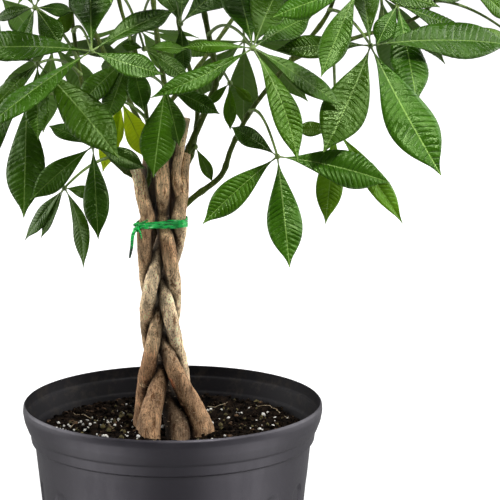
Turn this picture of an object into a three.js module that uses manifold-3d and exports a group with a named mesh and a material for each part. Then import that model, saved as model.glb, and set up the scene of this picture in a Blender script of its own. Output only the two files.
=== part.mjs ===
// A potted money tree: five woody stems braided together in a black nursery pot, tied with a green
// ribbon, with green leafy shoots and palmate leaves above. Millimetres, +Z up, origin at the centre
// of the pot's underside, X to the right and Y away from someone who stands in front of the plant.
import * as THREE from 'three';
import { mergeVertices } from 'three/addons/utils/BufferGeometryUtils.js';
import Module from 'manifold-3d';

const wasm = await Module();
wasm.setup();

// ---------------------------------------------------------------- driving dimensions
const GAP = 0.3;                 // clearance between pieces that touch on the real plant

const POT_HEIGHT = 240;
const POT_RIM_RADIUS = 140;
const POT_BASE_RADIUS = 109;
const POT_WALL = 2.4;
const POT_FLOOR = 2.6;
const POT_SIDES = 36;
const BAND_FOOT = 204;           // height at which the wall steps in under the rim's band
const FLUTES = 18;
const FLUTE_WIDTH = 19;
const FLUTE_DEPTH = 1.5;
const FLUTE_TOP = 172;
const FLUTE_FOOT = 22;
const DRAIN_HOLES = 6;
const DRAIN_RADIUS = 8;
const DRAIN_CIRCLE = 82;

const SOIL_LEVEL = 214;
const SOIL_RELIEF = 2.6;
const STEM_FOOT = 176;           // the stems' buried ends

const TIE_HEIGHT = 410;          // middle of the ribbon
const TIE_WIDTH = 11;
const TIE_THICKNESS = 1.2;
const BRAID_PITCH = 272;         // height in which a strand comes back to its place
const BRAID_WIDTH = 14;          // how far a strand swings sideways from the trunk's axis
const BRAID_DEPTH = 13.1;        // how far it swings to the front and to the back
const STRAND_RADIUS = 5.5;
const TRUNK_FOOT = 1;            // the trunk's axis at the soil, sideways from the pot's
const TRUNK_LEAN = -11;          // its sideways shift from the soil up to the tie
const TRUNK_BOW = 4;             // how far it bows to the left between them

const BLADE_WIDTH = 0.34;        // of a leaflet's length, where its row gives no other
const BLADE_THICKNESS = 1.3;
const BLADE_CONE = 8;            // degrees that leaflets lean back from the leaf's plane
const BLADE_SAG = 0.12;          // drop of a leaflet's tip, of its length
const BLADE_TWIST = 14;          // most that a leaflet turns about its own rib, degrees
const PETIOLE_RADIUS = 1.5;
const HUB_RADIUS = 3.8;
const BLADE_ROOT = 1.4;           // from the hub's middle, inside the hub
const SHOOT_TIP = 0.6;           // a shoot's radius at its tip, of the radius at its root

// ---------------------------------------------------------------- materials
const finish = (color, roughness, metalness = 0) =>
  new THREE.MeshStandardMaterial({ color, roughness, metalness });
const potPlastic = finish(0x2f3033, 0.45);
const peat = finish(0x2a1c12, 0.95);
const bark = finish(0x8a6a50, 0.85);
const ribbonPlastic = finish(0x11994a, 0.25);
const greenBark = finish(0x4c6b34, 0.6);
const leafGreen = finish(0x2f6b22, 0.4);

// ---------------------------------------------------------------- small helpers
const radians = THREE.MathUtils.degToRad;
const mix = THREE.MathUtils.lerp;
const vec = (x, y, z) => new THREE.Vector3(x, y, z);

// A small repeatable source of numbers between 0 and 1.
function seededDraws(seed) {
  let state = (seed * 7919 + 12345) >>> 0;
  return () => {
    state = (Math.imul(state, 1664525) + 1013904223) >>> 0;
    return state / 4294967296;
  };
}

function solidOf(geometry) {
  const bare = geometry.index ? geometry.toNonIndexed() : geometry.clone();
  bare.deleteAttribute('normal');
  bare.deleteAttribute('uv');
  const merged = mergeVertices(bare, 1e-4);
  return new wasm.Manifold(new wasm.Mesh({
    numProp: 3,
    vertProperties: new Float32Array(merged.attributes.position.array),
    triVerts: new Uint32Array(merged.index.array),
  }));
}

function geometryOf(solid) {
  const { vertProperties, triVerts, numProp } = solid.getMesh();
  const positions = new Float32Array(triVerts.length * 3);
  triVerts.forEach((vertex, corner) => {
    for (let axis = 0; axis < 3; axis += 1) {
      positions[corner * 3 + axis] = vertProperties[vertex * numProp + axis];
    }
  });
  const geometry = new THREE.BufferGeometry();
  geometry.setAttribute('position', new THREE.BufferAttribute(positions, 3));
  geometry.computeVertexNormals();
  return geometry;
}

// A closed skin over rings of equally many points; a ring of one point is a tip.
function loft(rings) {
  const positions = [];
  const face = (a, b, c) => positions.push(...a.toArray(), ...b.toArray(), ...c.toArray());
  for (let i = 0; i + 1 < rings.length; i += 1) {
    const [low, high] = [rings[i], rings[i + 1]];
    const count = Math.max(low.length, high.length);
    for (let k = 0; k < count; k += 1) {
      const next = (k + 1) % count;
      if (low.length === 1) face(low[0], high[next], high[k]);
      else if (high.length === 1) face(low[k], low[next], high[0]);
      else {
        face(low[k], low[next], high[next]);
        face(low[k], high[next], high[k]);
      }
    }
  }
  const [first, last] = [rings[0], rings[rings.length - 1]];
  for (let k = 1; k + 1 < first.length; k += 1) face(first[0], first[k + 1], first[k]);
  for (let k = 1; k + 1 < last.length; k += 1) face(last[0], last[k], last[k + 1]);
  const geometry = new THREE.BufferGeometry();
  geometry.setAttribute('position', new THREE.Float32BufferAttribute(positions, 3));
  return geometry;
}

// A round rod through points, with a radius at each point; its rings turn as little as they can.
function rod(points, radii, sides) {
  let side = vec(1, 0, 0);
  const rings = points.map((point, i) => {
    const before = points[Math.max(i - 1, 0)];
    const after = points[Math.min(i + 1, points.length - 1)];
    const along = after.clone().sub(before).normalize();
    side = side.clone().addScaledVector(along, -side.dot(along)).normalize();
    const other = along.clone().cross(side);
    return Array.from({ length: sides }, (_, k) => {
      const turn = (2 * Math.PI * k) / sides;
      return point.clone()
        .addScaledVector(side, radii[i] * Math.cos(turn))
        .addScaledVector(other, radii[i] * Math.sin(turn));
    });
  });
  return solidOf(loft(rings));
}

// The place at u, from 0 to 1, on a smooth line through points (a uniform Catmull-Rom spline).
function alongPath(points, u) {
  const last = points.length - 1;
  const span = Math.min(Math.floor(u * last), last - 1);
  const t = u * last - span;
  const [a, b] = [points[span], points[span + 1]];
  const before = points[Math.max(span - 1, 0)];
  const after = points[Math.min(span + 2, last)];
  const blend = (axis) => {
    const slopeA = (b[axis] - before[axis]) / 2;
    const slopeB = (after[axis] - a[axis]) / 2;
    return (2 * t ** 3 - 3 * t ** 2 + 1) * a[axis] + (t ** 3 - 2 * t ** 2 + t) * slopeA
      + (3 * t ** 2 - 2 * t ** 3) * b[axis] + (t ** 3 - t ** 2) * slopeB;
  };
  return vec(blend(0), blend(1), blend(2));
}

// What is left when loose scraps of a cut are dropped.
const largestBody = (solid) => solid.decompose().reduce(
  (best, body) => (body.volume() > best.volume() ? body : best),
);

const join = (solids) => solids.reduce((whole, next) => whole.add(next));

// ---------------------------------------------------------------- the pot
// Outer and inner outline of the wall, from the floor up, as [radius, height].
const POT_OUTSIDE = [
  [POT_BASE_RADIUS - 3, 0],
  [POT_BASE_RADIUS, 3],
  [POT_RIM_RADIUS - 11.5, BAND_FOOT - 8],
  [POT_RIM_RADIUS - 10.4, BAND_FOOT],
  [POT_RIM_RADIUS - 7.6, BAND_FOOT + 1],
  [POT_RIM_RADIUS - 6.4, BAND_FOOT + 10],
  [POT_RIM_RADIUS - 4.8, BAND_FOOT + 12],
  [POT_RIM_RADIUS - 1.4, BAND_FOOT + 21],
  [POT_RIM_RADIUS, POT_HEIGHT - 7],
  [POT_RIM_RADIUS - 0.5, POT_HEIGHT - 1.6],
  [POT_RIM_RADIUS - 2, POT_HEIGHT],
];
const POT_INSIDE = [
  [POT_BASE_RADIUS - POT_WALL, POT_FLOOR],
  [POT_RIM_RADIUS - 11.5 - POT_WALL, BAND_FOOT - 8],
  [POT_RIM_RADIUS - 9.6, BAND_FOOT + 11],
  [POT_RIM_RADIUS - 8, BAND_FOOT + 12],
  [POT_RIM_RADIUS - 5.4, BAND_FOOT + 25],
  [POT_RIM_RADIUS - 3.6, BAND_FOOT + 26],
  [POT_RIM_RADIUS - 3.4, POT_HEIGHT - 0.6],
];

const turned = (outline) => {
  const profile = outline.map(([radius, height]) => new THREE.Vector2(radius, height));
  const geometry = new THREE.LatheGeometry(profile, POT_SIDES);
  geometry.rotateX(Math.PI / 2);
  return solidOf(geometry);
};

// One round-topped recess that is pressed into the wall, cut along the wall's slope.
function fluteCutter() {
  const half = FLUTE_WIDTH / 2;
  const outline = new THREE.Shape();
  outline.moveTo(-half, FLUTE_FOOT);
  outline.lineTo(half, FLUTE_FOOT);
  outline.lineTo(half, FLUTE_TOP - half);
  outline.absarc(0, FLUTE_TOP - half, half, 0, Math.PI, false);
  const cutter = new THREE.ExtrudeGeometry(outline, { depth: 12, bevelEnabled: false, curveSegments: 3 });
  const slope = Math.atan2(POT_RIM_RADIUS - 11.5 - POT_BASE_RADIUS, BAND_FOOT - 11);
  cutter.rotateX(Math.PI / 2 + slope);
  const facing = Math.cos(Math.PI / POT_SIDES);
  cutter.translate(0, -(POT_BASE_RADIUS * facing - FLUTE_DEPTH), 3);
  return cutter;
}

function makePot() {
  const inside = POT_INSIDE.slice().reverse();
  let pot = turned([[0, 0], ...POT_OUTSIDE, ...inside, [0, POT_FLOOR]]);
  const half = 180 / POT_SIDES;
  for (let k = 0; k < FLUTES; k += 1) {
    const cutter = fluteCutter().rotateZ(radians((360 / FLUTES) * k + half));
    pot = pot.subtract(solidOf(cutter));
  }
  for (let k = 0; k < DRAIN_HOLES; k += 1) {
    const hole = new THREE.CylinderGeometry(DRAIN_RADIUS, DRAIN_RADIUS, 4 * POT_FLOOR, 6);
    hole.rotateX(Math.PI / 2);
    hole.translate(DRAIN_CIRCLE, 0, 0);
    hole.rotateZ((2 * Math.PI * k) / DRAIN_HOLES);
    pot = pot.subtract(solidOf(hole));
  }
  return pot;
}

// ---------------------------------------------------------------- the braided stems
// Each strand: its place in the braid at the tie (degrees), how far it parts there from that place
// (sideways, to the back), the way it goes on up to its pruned top, and its radius there.
const STEMS = {
  stem_middle: {
    phase: 0, parting: [2, -2], top: [[-8, -9, 440], [-7.5, -6, 470], [-7, -2, 500]], radius: 6,
  },
  stem_right: {
    phase: 72, parting: [4.5, 1], top: [[9, -6, 432], [11, -3, 452], [13, 0, 474]], radius: 5,
    fork: [[8, -5, 436], [3.5, -8, 455], [8, -7, 480], [15, -5, 507]],
  },
  stem_back: {
    phase: 144, parting: [0, 1], top: [[0, 14, 440], [2, 19, 470], [3, 24, 492]], radius: 5.4,
  },
  stem_left: {
    phase: 216, parting: [-6, 2], top: [[-26, -7, 432], [-29, -5, 448], [-35, -3, 464]], radius: 5.4,
  },
  stem_rear: {
    phase: 288, parting: [5, 3], top: [[-21, 11, 440], [-21, 18, 462], [-20, 25, 484]], radius: 5.2,
  },
};
const OPENING = 45;              // height over which the strands part below the tie
const FLARE_START = 300;         // below this height the strands spread and thicken
const FLARE_GROWTH = 0.9;
const FLARE_POWER = 1.2;
const SLOWING = 46;              // height over which the braid's turn comes to rest at the soil

function trunkAxis(z) {
  const share = (z - SOIL_LEVEL) / (TIE_HEIGHT - SOIL_LEVEL);
  return TRUNK_FOOT + TRUNK_LEAN * share - TRUNK_BOW * Math.sin(Math.PI * share);
}

function flareAt(z) {
  const down = (FLARE_START - Math.max(z, SOIL_LEVEL)) / (FLARE_START - SOIL_LEVEL);
  return 1 + FLARE_GROWTH * Math.pow(Math.max(down, 0), FLARE_POWER);
}

// A strand's centre at a height between its foot and the tie.
function strandAt(stem, z) {
  const whole = TIE_HEIGHT - SOIL_LEVEL;
  const down = Math.min(TIE_HEIGHT - z, whole);
  const late = Math.max(0, down - (whole - SLOWING));
  const turn = radians(stem.phase + (360 / BRAID_PITCH) * (down - (late * late) / (2 * SLOWING)));
  const flare = flareAt(z);
  const open = Math.min(Math.max((z - TIE_HEIGHT + OPENING) / OPENING, 0), 1);
  const part = open * open * (3 - 2 * open);
  return vec(
    trunkAxis(Math.max(z, SOIL_LEVEL)) + flare * BRAID_WIDTH * Math.sin(turn) + part * stem.parting[0],
    -flare * BRAID_DEPTH * Math.sin(2 * turn) + part * stem.parting[1],
    z,
  );
}

const strandRadius = (z) => STRAND_RADIUS * flareAt(z);

const STEM_SIDES = 7;
const STRAND_STEPS = 14;
const TOP_STEPS = 4;
const TIE_TOP = TIE_HEIGHT + TIE_WIDTH / 2;

function stemSolid(stem, extra = 0) {
  const points = [];
  const radii = [];
  for (let k = 0; k <= STRAND_STEPS; k += 1) {
    const z = mix(STEM_FOOT - extra, TIE_TOP, k / STRAND_STEPS);
    points.push(strandAt(stem, z));
    radii.push(strandRadius(z) + extra);
  }
  const rise = [points[points.length - 1].toArray(), ...stem.top];
  for (let k = 1; k <= TOP_STEPS; k += 1) {
    points.push(alongPath(rise, k / TOP_STEPS));
    radii.push(mix(STRAND_RADIUS, stem.radius, k / TOP_STEPS) + extra);
  }
  const trunk = rod(points, radii, STEM_SIDES);
  if (!stem.fork) return trunk;
  const steps = 4;
  const fork = Array.from({ length: steps + 1 }, (_, k) => alongPath(stem.fork, k / steps));
  const thick = fork.map((_, k) => mix(stem.radius, stem.radius * 0.8, k / steps) + extra);
  return trunk.add(rod(fork, thick, STEM_SIDES));
}

const stems = {};
const stemsWithRoom = {};
for (const [name, stem] of Object.entries(STEMS)) {
  stems[name] = stemSolid(stem);
  stemsWithRoom[name] = stemSolid(stem, GAP);
}

// ---------------------------------------------------------------- the soil
const SOIL_SIDES = POT_SIDES / 2;
const SOIL_RINGS = [30, 58, 88, 112];   // radii at which the surface is shaped

const soilHeight = (x, y) => SOIL_LEVEL
  + SOIL_RELIEF * Math.sin(x / 13 + 0.8) * Math.cos(y / 11 - 0.5)
  + 0.6 * SOIL_RELIEF * Math.sin((x + 2 * y) / 17);

function potInnerRadius(z) {
  const above = POT_INSIDE.findIndex(([, height]) => height > z);
  const [[r0, z0], [r1, z1]] = [POT_INSIDE[above - 1], POT_INSIDE[above]];
  return mix(r0, r1, (z - z0) / (z1 - z0));
}

function makeSoil() {
  const ring = (radius, height) => Array.from({ length: SOIL_SIDES }, (_, k) => {
    const turn = (2 * Math.PI * k) / SOIL_SIDES;
    const [x, y] = [radius * Math.sin(turn), radius * Math.cos(turn)];
    return vec(x, y, height ?? soilHeight(x, y));
  });
  const shelf = BAND_FOOT - 8;
  const rings = [[vec(0, 0, POT_FLOOR + GAP)]];
  rings.push(ring(potInnerRadius(POT_FLOOR + GAP) - 2 * GAP, POT_FLOOR + GAP));
  rings.push(ring(potInnerRadius(shelf) - 2 * GAP, shelf));
  rings.push(ring(potInnerRadius(SOIL_LEVEL - 5) - 2 * GAP, SOIL_LEVEL - 5));
  for (const radius of SOIL_RINGS.slice().reverse()) rings.push(ring(radius));
  rings.push([vec(0, 0, soilHeight(0, 0))]);
  let soil = solidOf(loft(rings.reverse()));
  for (const stem of Object.values(stemsWithRoom)) soil = soil.subtract(stem);
  return soil;
}

// ---------------------------------------------------------------- the ribbon
// The outline of a ribbon pulled tight round the strands: the hull of their round sections.
function tightOutline(clear) {
  const dots = [];
  for (const stem of Object.values(STEMS)) {
    for (const z of [TIE_HEIGHT - TIE_WIDTH / 2, TIE_HEIGHT, TIE_TOP]) {
      const centre = strandAt(stem, z);
      for (let k = 0; k < 12; k += 1) {
        const turn = (Math.PI * k) / 6;
        const reach = strandRadius(z) + clear;
        dots.push([centre.x + reach * Math.cos(turn), centre.y + reach * Math.sin(turn)]);
      }
    }
  }
  dots.sort((p, q) => p[0] - q[0] || p[1] - q[1]);
  const turns = (o, p, q) => (p[0] - o[0]) * (q[1] - o[1]) - (p[1] - o[1]) * (q[0] - o[0]);
  const half = (list) => {
    const chain = [];
    for (const dot of list) {
      while (chain.length > 1 && turns(chain[chain.length - 2], chain[chain.length - 1], dot) <= 0.5) {
        chain.pop();
      }
      chain.push(dot);
    }
    return chain.slice(0, -1);
  };
  return [...half(dots), ...half(dots.slice().reverse())];
}

const KNOT_SIDE = [-0.85, -0.53];     // where on the ribbon the knot sits, seen from above
const TAIL = [[0, 0, 0], [-3, -2, -7], [-4, -2, -17], [-6, -1, -28]];   // from the knot

function makeTie() {
  const slab = (outline, depth) => {
    const shape = new THREE.Shape(outline.map(([x, y]) => new THREE.Vector2(x, y)));
    const geometry = new THREE.ExtrudeGeometry(shape, { depth, bevelEnabled: false });
    return geometry.translate(0, 0, TIE_HEIGHT - depth / 2);
  };
  const outline = tightOutline(GAP + TIE_THICKNESS);
  const band = solidOf(slab(outline, TIE_WIDTH)).subtract(solidOf(slab(tightOutline(GAP), 2 * TIE_WIDTH)));
  const reach = ([x, y]) => x * KNOT_SIDE[0] + y * KNOT_SIDE[1];
  const [x, y] = outline.reduce((best, dot) => (reach(dot) > reach(best) ? dot : best));
  const knotAt = vec(x + KNOT_SIDE[0], y + KNOT_SIDE[1], TIE_HEIGHT - 3);
  const knot = new THREE.SphereGeometry(3.6, 8, 5);
  knot.scale(0.8, 0.8, 1.1);
  knot.translate(knotAt.x, knotAt.y, knotAt.z);
  const tail = TAIL.map((p) => vec(...p).add(knotAt));
  return join([band, solidOf(knot), rod(tail, [2.2, 1.9, 1.7, 1], 4)]);
}

// ---------------------------------------------------------------- the leafy shoots
// Each grew from a woody stem: its line starts on that stem's axis, and the stem trims it.
const SHOOTS = {
  shoot_right: {
    stem: 'stem_right', radius: 3.4,
    line: [[12, 0, 466], [17, -2, 480], [35, -8, 523], [41, -10, 546], [33, -5, 590], [24, 5, 640],
      [22, 8, 690]],
  },
  shoot_upright: {
    stem: 'stem_right', radius: 2.7,
    line: [[11, 1, 458], [20, 11, 476], [24, 15, 521], [11, 22, 571], [5, 27, 612], [-2, 35, 670]],
  },
  shoot_arching: {
    stem: 'stem_right', radius: 2.9,
    line: [[6, -5, 420], [21, -5, 434], [45, -5, 453], [54, -8, 477], [62, -10, 495], [76, -17, 520],
      [107, -35, 562], [140, -48, 606], [152, -46, 655]],
    fork: [[107, -35, 562], [132, -32, 572], [170, -22, 582], [225, 0, 598], [258, 12, 632]],
  },
  shoot_left: {
    stem: 'stem_left', radius: 2.8,
    line: [[-31, -5, 452], [-45, -7, 461], [-62, -12, 483], [-78, -15, 529], [-88, -15, 597],
      [-90, -10, 655]],
  },
  shoot_inner: {
    stem: 'stem_left', radius: 2.5,
    line: [[-27, -6, 437], [-21, -1, 449], [-20, 3, 465], [-22, 6, 504], [-30, 10, 558],
      [-46, 20, 608], [-56, 25, 675]],
  },
  shoot_back: {
    stem: 'stem_back', radius: 3,
    line: [[3, 22, 484], [-3, 38, 514], [-14, 78, 585], [-18, 103, 645], [-16, 108, 690]],
    fork: [[-3, 38, 514], [18, 48, 538], [60, 78, 592], [88, 96, 640], [94, 100, 690]],
  },
  shoot_rear: {
    stem: 'stem_rear', radius: 2.7,
    line: [[-20, 24, 478], [-38, 44, 515], [-72, 72, 580], [-92, 84, 640], [-95, 86, 680]],
  },
};
const SHOOT_SIDES = 6;

function shootSolid(shoot, extra = 0) {
  const branch = (line, thick) => {
    const steps = line.length + 2;
    const points = Array.from({ length: steps + 1 }, (_, k) => alongPath(line, k / steps));
    const radii = points.map((_, k) => thick * mix(1, SHOOT_TIP, k / steps) + extra);
    return rod(points, radii, SHOOT_SIDES);
  };
  const main = branch(shoot.line, shoot.radius);
  return shoot.fork ? main.add(branch(shoot.fork, shoot.radius * 0.8)) : main;
}

// ---------------------------------------------------------------- the leaves
// A leaf: the shoot that it grew from and how far along it, its hub, the way that its upper side
// faces (degrees round from the front, degrees up from level), and its leaflets as [clock angle on
// the leaf's face, length, width and sideways bow of the length]; the last two may be left out. A
// number of leaflets and a length stand for an even fan.
const LEAVES = {
  leaf_front_left: {
    from: ['line', 'shoot_left', 0.77], hub: [-67, -130, 580], face: [-10, 45],
    blades: [[350, 150, 0.28], [40, 96, 0.25], [97, 62, 0.44, 0.05], [285, 126, 0.27],
      [236, 108, 0.24]],
  },
  leaf_high_left: {
    from: ['line', 'shoot_left', 0.7], hub: [-118, -66, 612], face: [-25, 42],
    blades: [[266, 44, 0.34], [188, 36, 0.4], [132, 44, 0.5], [80, 34, 0.42], [318, 104], [356, 82]],
  },
  leaf_young_left: {
    from: ['line', 'shoot_left', 0.86], hub: [-84, -42, 612], face: [0, 50],
    blades: [[210, 34, 0.48], [0, 44], [48, 30, 0.4]],
  },
  leaf_left: {
    from: ['line', 'shoot_left', 0.66], hub: [-115, -95, 566], face: [-15, 35],
    blades: [[226, 60, 0.34], [130, 106, 0.36], [172, 62, 0.36], [300, 60]],
  },
  leaf_hanging_left: {
    from: ['line', 'shoot_left', 0.56], hub: [-127, -55, 534], face: [-20, 20],
    blades: [[178, 97, 0.38], [225, 92], [270, 84]],
  },
  leaf_low_left: {
    from: ['line', 'shoot_left', 0.44], hub: [-69, -75, 491], face: [-5, 25],
    blades: [[303, 50, 0.3], [235, 68, 0.35], [175, 74, 0.32], [105, 48, 0.38]],
  },
  leaf_lowest_left: {
    from: ['line', 'shoot_left', 0.32], hub: [-97, -25, 446], face: [-30, 25],
    blades: [[220, 57, 0.3], [204, 46, 0.26], [154, 69, 0.26, -0.08], [90, 30, 0.4]],
  },
  leaf_over_trunk: {
    from: ['line', 'shoot_inner', 0.62], hub: [-5, -45, 539], face: [0, 15],
    blades: [[189, 72, 0.45], [165, 48, 0.42], [109, 52, 0.34]],
  },
  leaf_inner_left: {
    from: ['line', 'shoot_inner', 0.75], hub: [-36, -35, 566], face: [-15, 35],
    blades: [[228, 62, 0.42], [196, 58, 0.42], [158, 50, 0.42]],
  },
  leaf_backlit: {
    from: ['line', 'shoot_inner', 0.5], hub: [-46, 16, 520], face: [-10, 8],
    blades: [[188, 42, 0.32], [152, 54, 0.44], [197, 62, 0.3]],
  },
  leaf_middle: {
    from: ['line', 'shoot_inner', 0.86], hub: [-23, -78, 577], face: [0, 45],
    blades: [[76, 38, 0.42], [122, 46, 0.42], [300, 24, 0.5]],
  },
  leaf_upper_middle: {
    from: ['line', 'shoot_upright', 0.8], hub: [9, -45, 596], face: [15, 25],
    blades: [[48, 90, 0.36], [12, 90], [342, 52], [180, 40, 0.4]],
  },
  leaf_sprout: {
    from: ['line', 'shoot_right', 0.12], hub: [22, -4, 480], face: [15, 5],
    blades: [[150, 34, 0.32]],
  },
  leaf_small: {
    from: ['line', 'shoot_right', 0.55], hub: [53, -28, 541], face: [0, 20],
    blades: [[180, 38], [230, 26], [125, 26]],
  },
  leaf_front: {
    from: ['line', 'shoot_right', 0.64], hub: [69, -150, 584], face: [10, 40],
    blades: [[286, 60, 0.2], [254, 93, 0.21, -0.06], [0, 102, 0.34], [24, 106, 0.36], [50, 80, 0.3],
      [120, 85, 0.28], [163, 97, 0.25, -0.05]],
  },
  leaf_front_right: {
    from: ['line', 'shoot_arching', 0.88], hub: [171, -120, 583], face: [15, 35],
    blades: [[281, 82, 0.28], [8, 110, 0.28], [79, 150, 0.27], [155, 115, 0.39, 0.03],
      [214, 98, 0.4, -0.03]],
  },
  leaf_high_right: {
    from: ['line', 'shoot_arching', 0.94], hub: [200, -60, 613], face: [25, 50],
    blades: [[225, 46, 0.44], [107, 78], [60, 130], [20, 120], [190, 94, 0.36]],
  },
  leaf_folded: {
    from: ['line', 'shoot_arching', 0.98], hub: [156, -165, 634], face: [0, 45],
    blades: [[205, 80, 0.3], [262, 72, 0.34], [345, 100], [30, 76], [90, 70]],
  },
  leaf_low_front: {
    from: ['line', 'shoot_arching', 0.6], hub: [90, -150, 492], face: [0, 30],
    blades: [[314, 54, 0.32], [234, 80, 0.31], [174, 86, 0.35], [94, 98, 0.33]],
  },
  leaf_low_right: {
    from: ['fork', 'shoot_arching', 0.35], hub: [154, 40, 489], face: [10, 25],
    blades: [[191, 80, 0.32], [142, 99, 0.22], [281, 38, 0.4]],
  },
  leaf_right: {
    from: ['fork', 'shoot_arching', 0.94], hub: [262, -25, 632], face: [30, 28],
    blades: [[120, 62], [60, 110], [15, 100], [320, 70]],
  },
  leaf_right_edge: {
    from: ['fork', 'shoot_arching', 0.85], hub: [318, 0, 575], face: [60, 40],
    blades: [[295, 68], [125, 80], [190, 84], [60, 84]],
  },
  leaf_top_left: {
    from: ['line', 'shoot_left', 1], hub: [-70, -45, 690], face: [-20, 60],
    fan: [6, 100],
  },
  leaf_side_left: {
    from: ['line', 'shoot_left', 0.9], hub: [-155, 30, 655], face: [-80, 55],
    fan: [6, 100],
  },
  leaf_crown_left: {
    from: ['line', 'shoot_inner', 1], hub: [-75, 50, 735], face: [-100, 75],
    fan: [6, 100],
  },
  leaf_top_front: {
    from: ['line', 'shoot_right', 0.95], hub: [35, -85, 700], face: [5, 60],
    fan: [6, 104],
  },
  leaf_crown: {
    from: ['line', 'shoot_right', 1], hub: [45, 5, 770], face: [10, 80],
    fan: [7, 112],
  },
  leaf_top_right: {
    from: ['line', 'shoot_arching', 1], hub: [135, -62, 728], face: [25, 60],
    fan: [6, 104],
  },
  leaf_crown_right: {
    from: ['line', 'shoot_arching', 0.92], hub: [165, 25, 735], face: [70, 72],
    fan: [6, 104],
  },
  leaf_side_right: {
    from: ['fork', 'shoot_arching', 1], hub: [278, 50, 706], face: [80, 60],
    fan: [6, 100],
  },
  leaf_back_right: {
    from: ['fork', 'shoot_arching', 0.8], hub: [285, 112, 660], face: [120, 62],
    fan: [5, 92],
  },
  leaf_behind_right: {
    from: ['fork', 'shoot_arching', 0.6], hub: [200, 105, 610], face: [155, 45],
    blades: [[180, 94], [218, 88], [304, 80], [350, 72], [62, 76]],
  },
  leaf_crown_back: {
    from: ['line', 'shoot_upright', 1], hub: [-20, 80, 760], face: [-160, 75],
    fan: [6, 104],
  },
  leaf_rear_left: {
    from: ['line', 'shoot_rear', 0.8], hub: [-160, 85, 610], face: [-120, 45],
    fan: [6, 96],
  },
  leaf_rear_high: {
    from: ['line', 'shoot_rear', 1], hub: [-110, 150, 680], face: [-150, 55],
    fan: [6, 98],
  },
  leaf_rear_low: {
    from: ['line', 'shoot_rear', 0.6], hub: [-114, 140, 560], face: [-155, 35],
    fan: [5, 90],
  },
  leaf_behind: {
    from: ['line', 'shoot_back', 0.6], hub: [-30, 165, 572], face: [180, 66],
    fan: [6, 94],
  },
  leaf_behind_high: {
    from: ['line', 'shoot_back', 1], hub: [0, 185, 690], face: [175, 55],
    fan: [6, 100],
  },
  leaf_back_low: {
    from: ['fork', 'shoot_back', 0.55], hub: [72, 152, 562], face: [170, 40],
    fan: [5, 92],
  },
  leaf_back_high: {
    from: ['fork', 'shoot_back', 1], hub: [105, 160, 700], face: [160, 60],
    fan: [6, 100],
  },
};

// The leaf's axes: the way that it faces, 12 o'clock on its face and 3 o'clock.
function leafAxes([round, up]) {
  const [turn, tilt] = [radians(round), radians(up)];
  const facing = vec(
    Math.sin(turn) * Math.cos(tilt), -Math.cos(turn) * Math.cos(tilt), Math.sin(tilt),
  );
  const twelve = vec(0, 0, 1).addScaledVector(facing, -facing.z).normalize();
  return { facing, twelve, three: twelve.clone().cross(facing) };
}

const FAN_STEP = 47;             // degrees between neighbours in an even fan

function evenFan([count, length], draw) {
  return Array.from({ length: count }, (_, k) => {
    const off = k - (count - 1) / 2;
    const shorter = 1 - 0.055 * off * off;
    return [180 + FAN_STEP * off + 10 * (draw() - 0.5), length * shorter * (0.95 + 0.1 * draw())];
  });
}

// Stations along a leaflet: how far, half-width there and how thick, of the greatest.
const BLADE_STATIONS = [[0.12, 0.14, 1], [0.42, 0.88, 1], [0.68, 0.94, 1], [0.89, 0.38, 0.8]];
const SMALL_BLADE = 56;          // a shorter leaflet has fewer stations
const SMALL_STATIONS = [[0.16, 0.2, 1], [0.5, 1, 1], [0.84, 0.54, 0.8]];

function bladeSolid(hub, { facing, twelve, three }, blade, draw) {
  const [clock, length, width = BLADE_WIDTH, bow = 0] = blade;
  const fold = mix(-0.24, 0.16, draw());
  const twist = radians(BLADE_TWIST) * (2 * draw() - 1);
  const angle = radians(clock);
  const cone = radians(BLADE_CONE);
  const outward = twelve.clone().multiplyScalar(Math.cos(angle)).addScaledVector(three, Math.sin(angle));
  const start = outward.multiplyScalar(Math.cos(cone)).addScaledVector(facing, -Math.sin(cone));
  const aside = start.clone().cross(facing).normalize();
  const ribAt = (t) => hub.clone()
    .addScaledVector(start, length * t)
    .addScaledVector(vec(0, 0, -1), length * BLADE_SAG * t * t)
    .addScaledVector(aside, length * 4 * bow * t * (1 - t));
  const stations = length < SMALL_BLADE ? SMALL_STATIONS : BLADE_STATIONS;
  const rings = stations.map(([t, wide, thick]) => {
    const along = start.clone()
      .addScaledVector(vec(0, 0, -1), 2 * BLADE_SAG * t)
      .addScaledVector(aside, 4 * bow * (1 - 2 * t))
      .normalize();
    const flat = facing.clone().addScaledVector(along, -facing.dot(along)).normalize();
    const side = along.clone().cross(flat);
    const roll = twist * t;
    const up = flat.clone().multiplyScalar(Math.cos(roll)).addScaledVector(side, Math.sin(roll));
    const across = along.clone().cross(up);
    const rib = ribAt(t);
    const reach = (length * width * wide) / 2;
    const half = (BLADE_THICKNESS * thick) / 2;
    const edge = (way) => rib.clone().addScaledVector(across, way * reach).addScaledVector(up, fold * reach);
    return [
      edge(1), rib.clone().addScaledVector(up, -half), edge(-1), rib.clone().addScaledVector(up, half),
    ];
  });
  return solidOf(loft([[ribAt(BLADE_ROOT / length)], ...rings, [ribAt(1)]]));
}

const PETIOLE_STEPS = 4;

function petioleSolid(from, hub) {
  const bend = from.clone().lerp(hub, 0.45);
  bend.z += 0.18 * from.distanceTo(hub);
  const curve = new THREE.QuadraticBezierCurve3(from, bend, hub);
  const points = curve.getPoints(PETIOLE_STEPS);
  const radii = points.map((_, k) => PETIOLE_RADIUS * mix(1.1, 0.75, k / PETIOLE_STEPS));
  return rod(points, radii, 4);
}

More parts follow.
